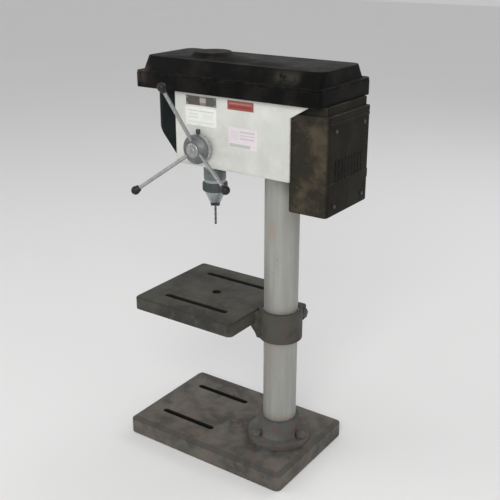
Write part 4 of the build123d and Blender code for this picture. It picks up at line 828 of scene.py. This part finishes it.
scale_low, scale_high = corners("depth_ring")
shown("depth_scale_marks", ring_of_ridges(
    "depth_scale_marks", DARK, 50, (scale_high.y - scale_low.y) / 2 - 0.00002, (0.0003, 0.00016, 0.0024),
    ((scale_low.x + scale_high.x) / 2 - 0.0008, *hub_mid), (0.0, pi / 2, 0.0)), "depth_ring")


# ---------------------------------------------------------------- small fittings

motor_low, motor_high = corners("motor_casing")
BAND_START = 0.0445    # just behind the head's cheeks


def wrap_band(name, z0, z1, grow, material):
    """A raised band that follows the motor's left side, back and right side, with closed ends."""
    half, back, r = motor_high.x, motor_high.y, 0.006
    path = [(half, BAND_START, 1, 0)]
    for side, first in ((1, 0), (-1, 90)):
        for turn in range(first, first + 91, 10):
            nx, ny = cos(radians(turn)), sin(radians(turn))
            path.append((side * (half - r) + r * nx, back - r + r * ny, nx, ny))
    path.append((-half, BAND_START, -1, 0))
    section = [(-0.0008, z0), (0.0, z0), (grow, z0 + 0.0006), (grow, z1 - 0.0006), (0.0, z1), (-0.0008, z1)]
    mesh = bpy.data.meshes.new(name)
    work = bmesh.new()
    loops = [[work.verts.new((x + nx * out, y + ny * out, z)) for out, z in section] for x, y, nx, ny in path]
    for one, two in zip(loops, loops[1:]):
        for i in range(len(section)):
            j = (i + 1) % len(section)
            work.faces.new((one[i], one[j], two[j], two[i]))
    work.faces.new(loops[0])
    work.faces.new(loops[-1])
    bmesh.ops.recalc_face_normals(work, faces=work.faces)
    work.to_mesh(mesh)
    work.free()
    return shown(name, mesh, "motor", material)


wrap_band("motor_lower_band", 0.4100, 0.4215, 0.0007, BLACK["motor"])
wrap_band("motor_upper_lip", 0.4888, 0.4925, 0.0006, BLACK["motor"])

shown("motor_vents", row_of_bars(
    "motor_vents", BLACK["cover"], 9, (-0.032, motor_high.y + 0.0001, 0.4325), (0.008, 0.0, 0.0),
    (0.0042, 0.0006, 0.03)), "motor")
shown("motor_back_screws", screw_heads(
    "motor_back_screws", DARK, [(sx * 0.0345, motor_high.y + 0.0005, z) for sx in (-1, 1) for z in (0.392, 0.482)],
    0.0024, 0.0014, (-pi / 2, 0.0, 0.0), 0.0006), "motor")

plate_low, plate_high = corners("nameplate")
shown("nameplate_rivets", screw_heads(
    "nameplate_rivets", BRIGHT, [(plate_high.x + 0.0001, y, z) for y in (plate_low.y + 0.002, plate_high.y - 0.002)
                                 for z in (plate_low.z + 0.002, plate_high.z - 0.002)],
    0.0009, 0.0006, (0.0, pi / 2, 0.0)), "stand")

switch_low, switch_high = corners("switch_plate")
shown("switch_plate_screws", screw_heads(
    "switch_plate_screws", DARK, [(sx * (switch_high.x - 0.0028), switch_low.y - 0.0003,
                                   (switch_low.z + switch_high.z) / 2) for sx in (-1, 1)],
    0.0014, 0.0009, (pi / 2, 0.0, 0.0), 0.0004), "stand")
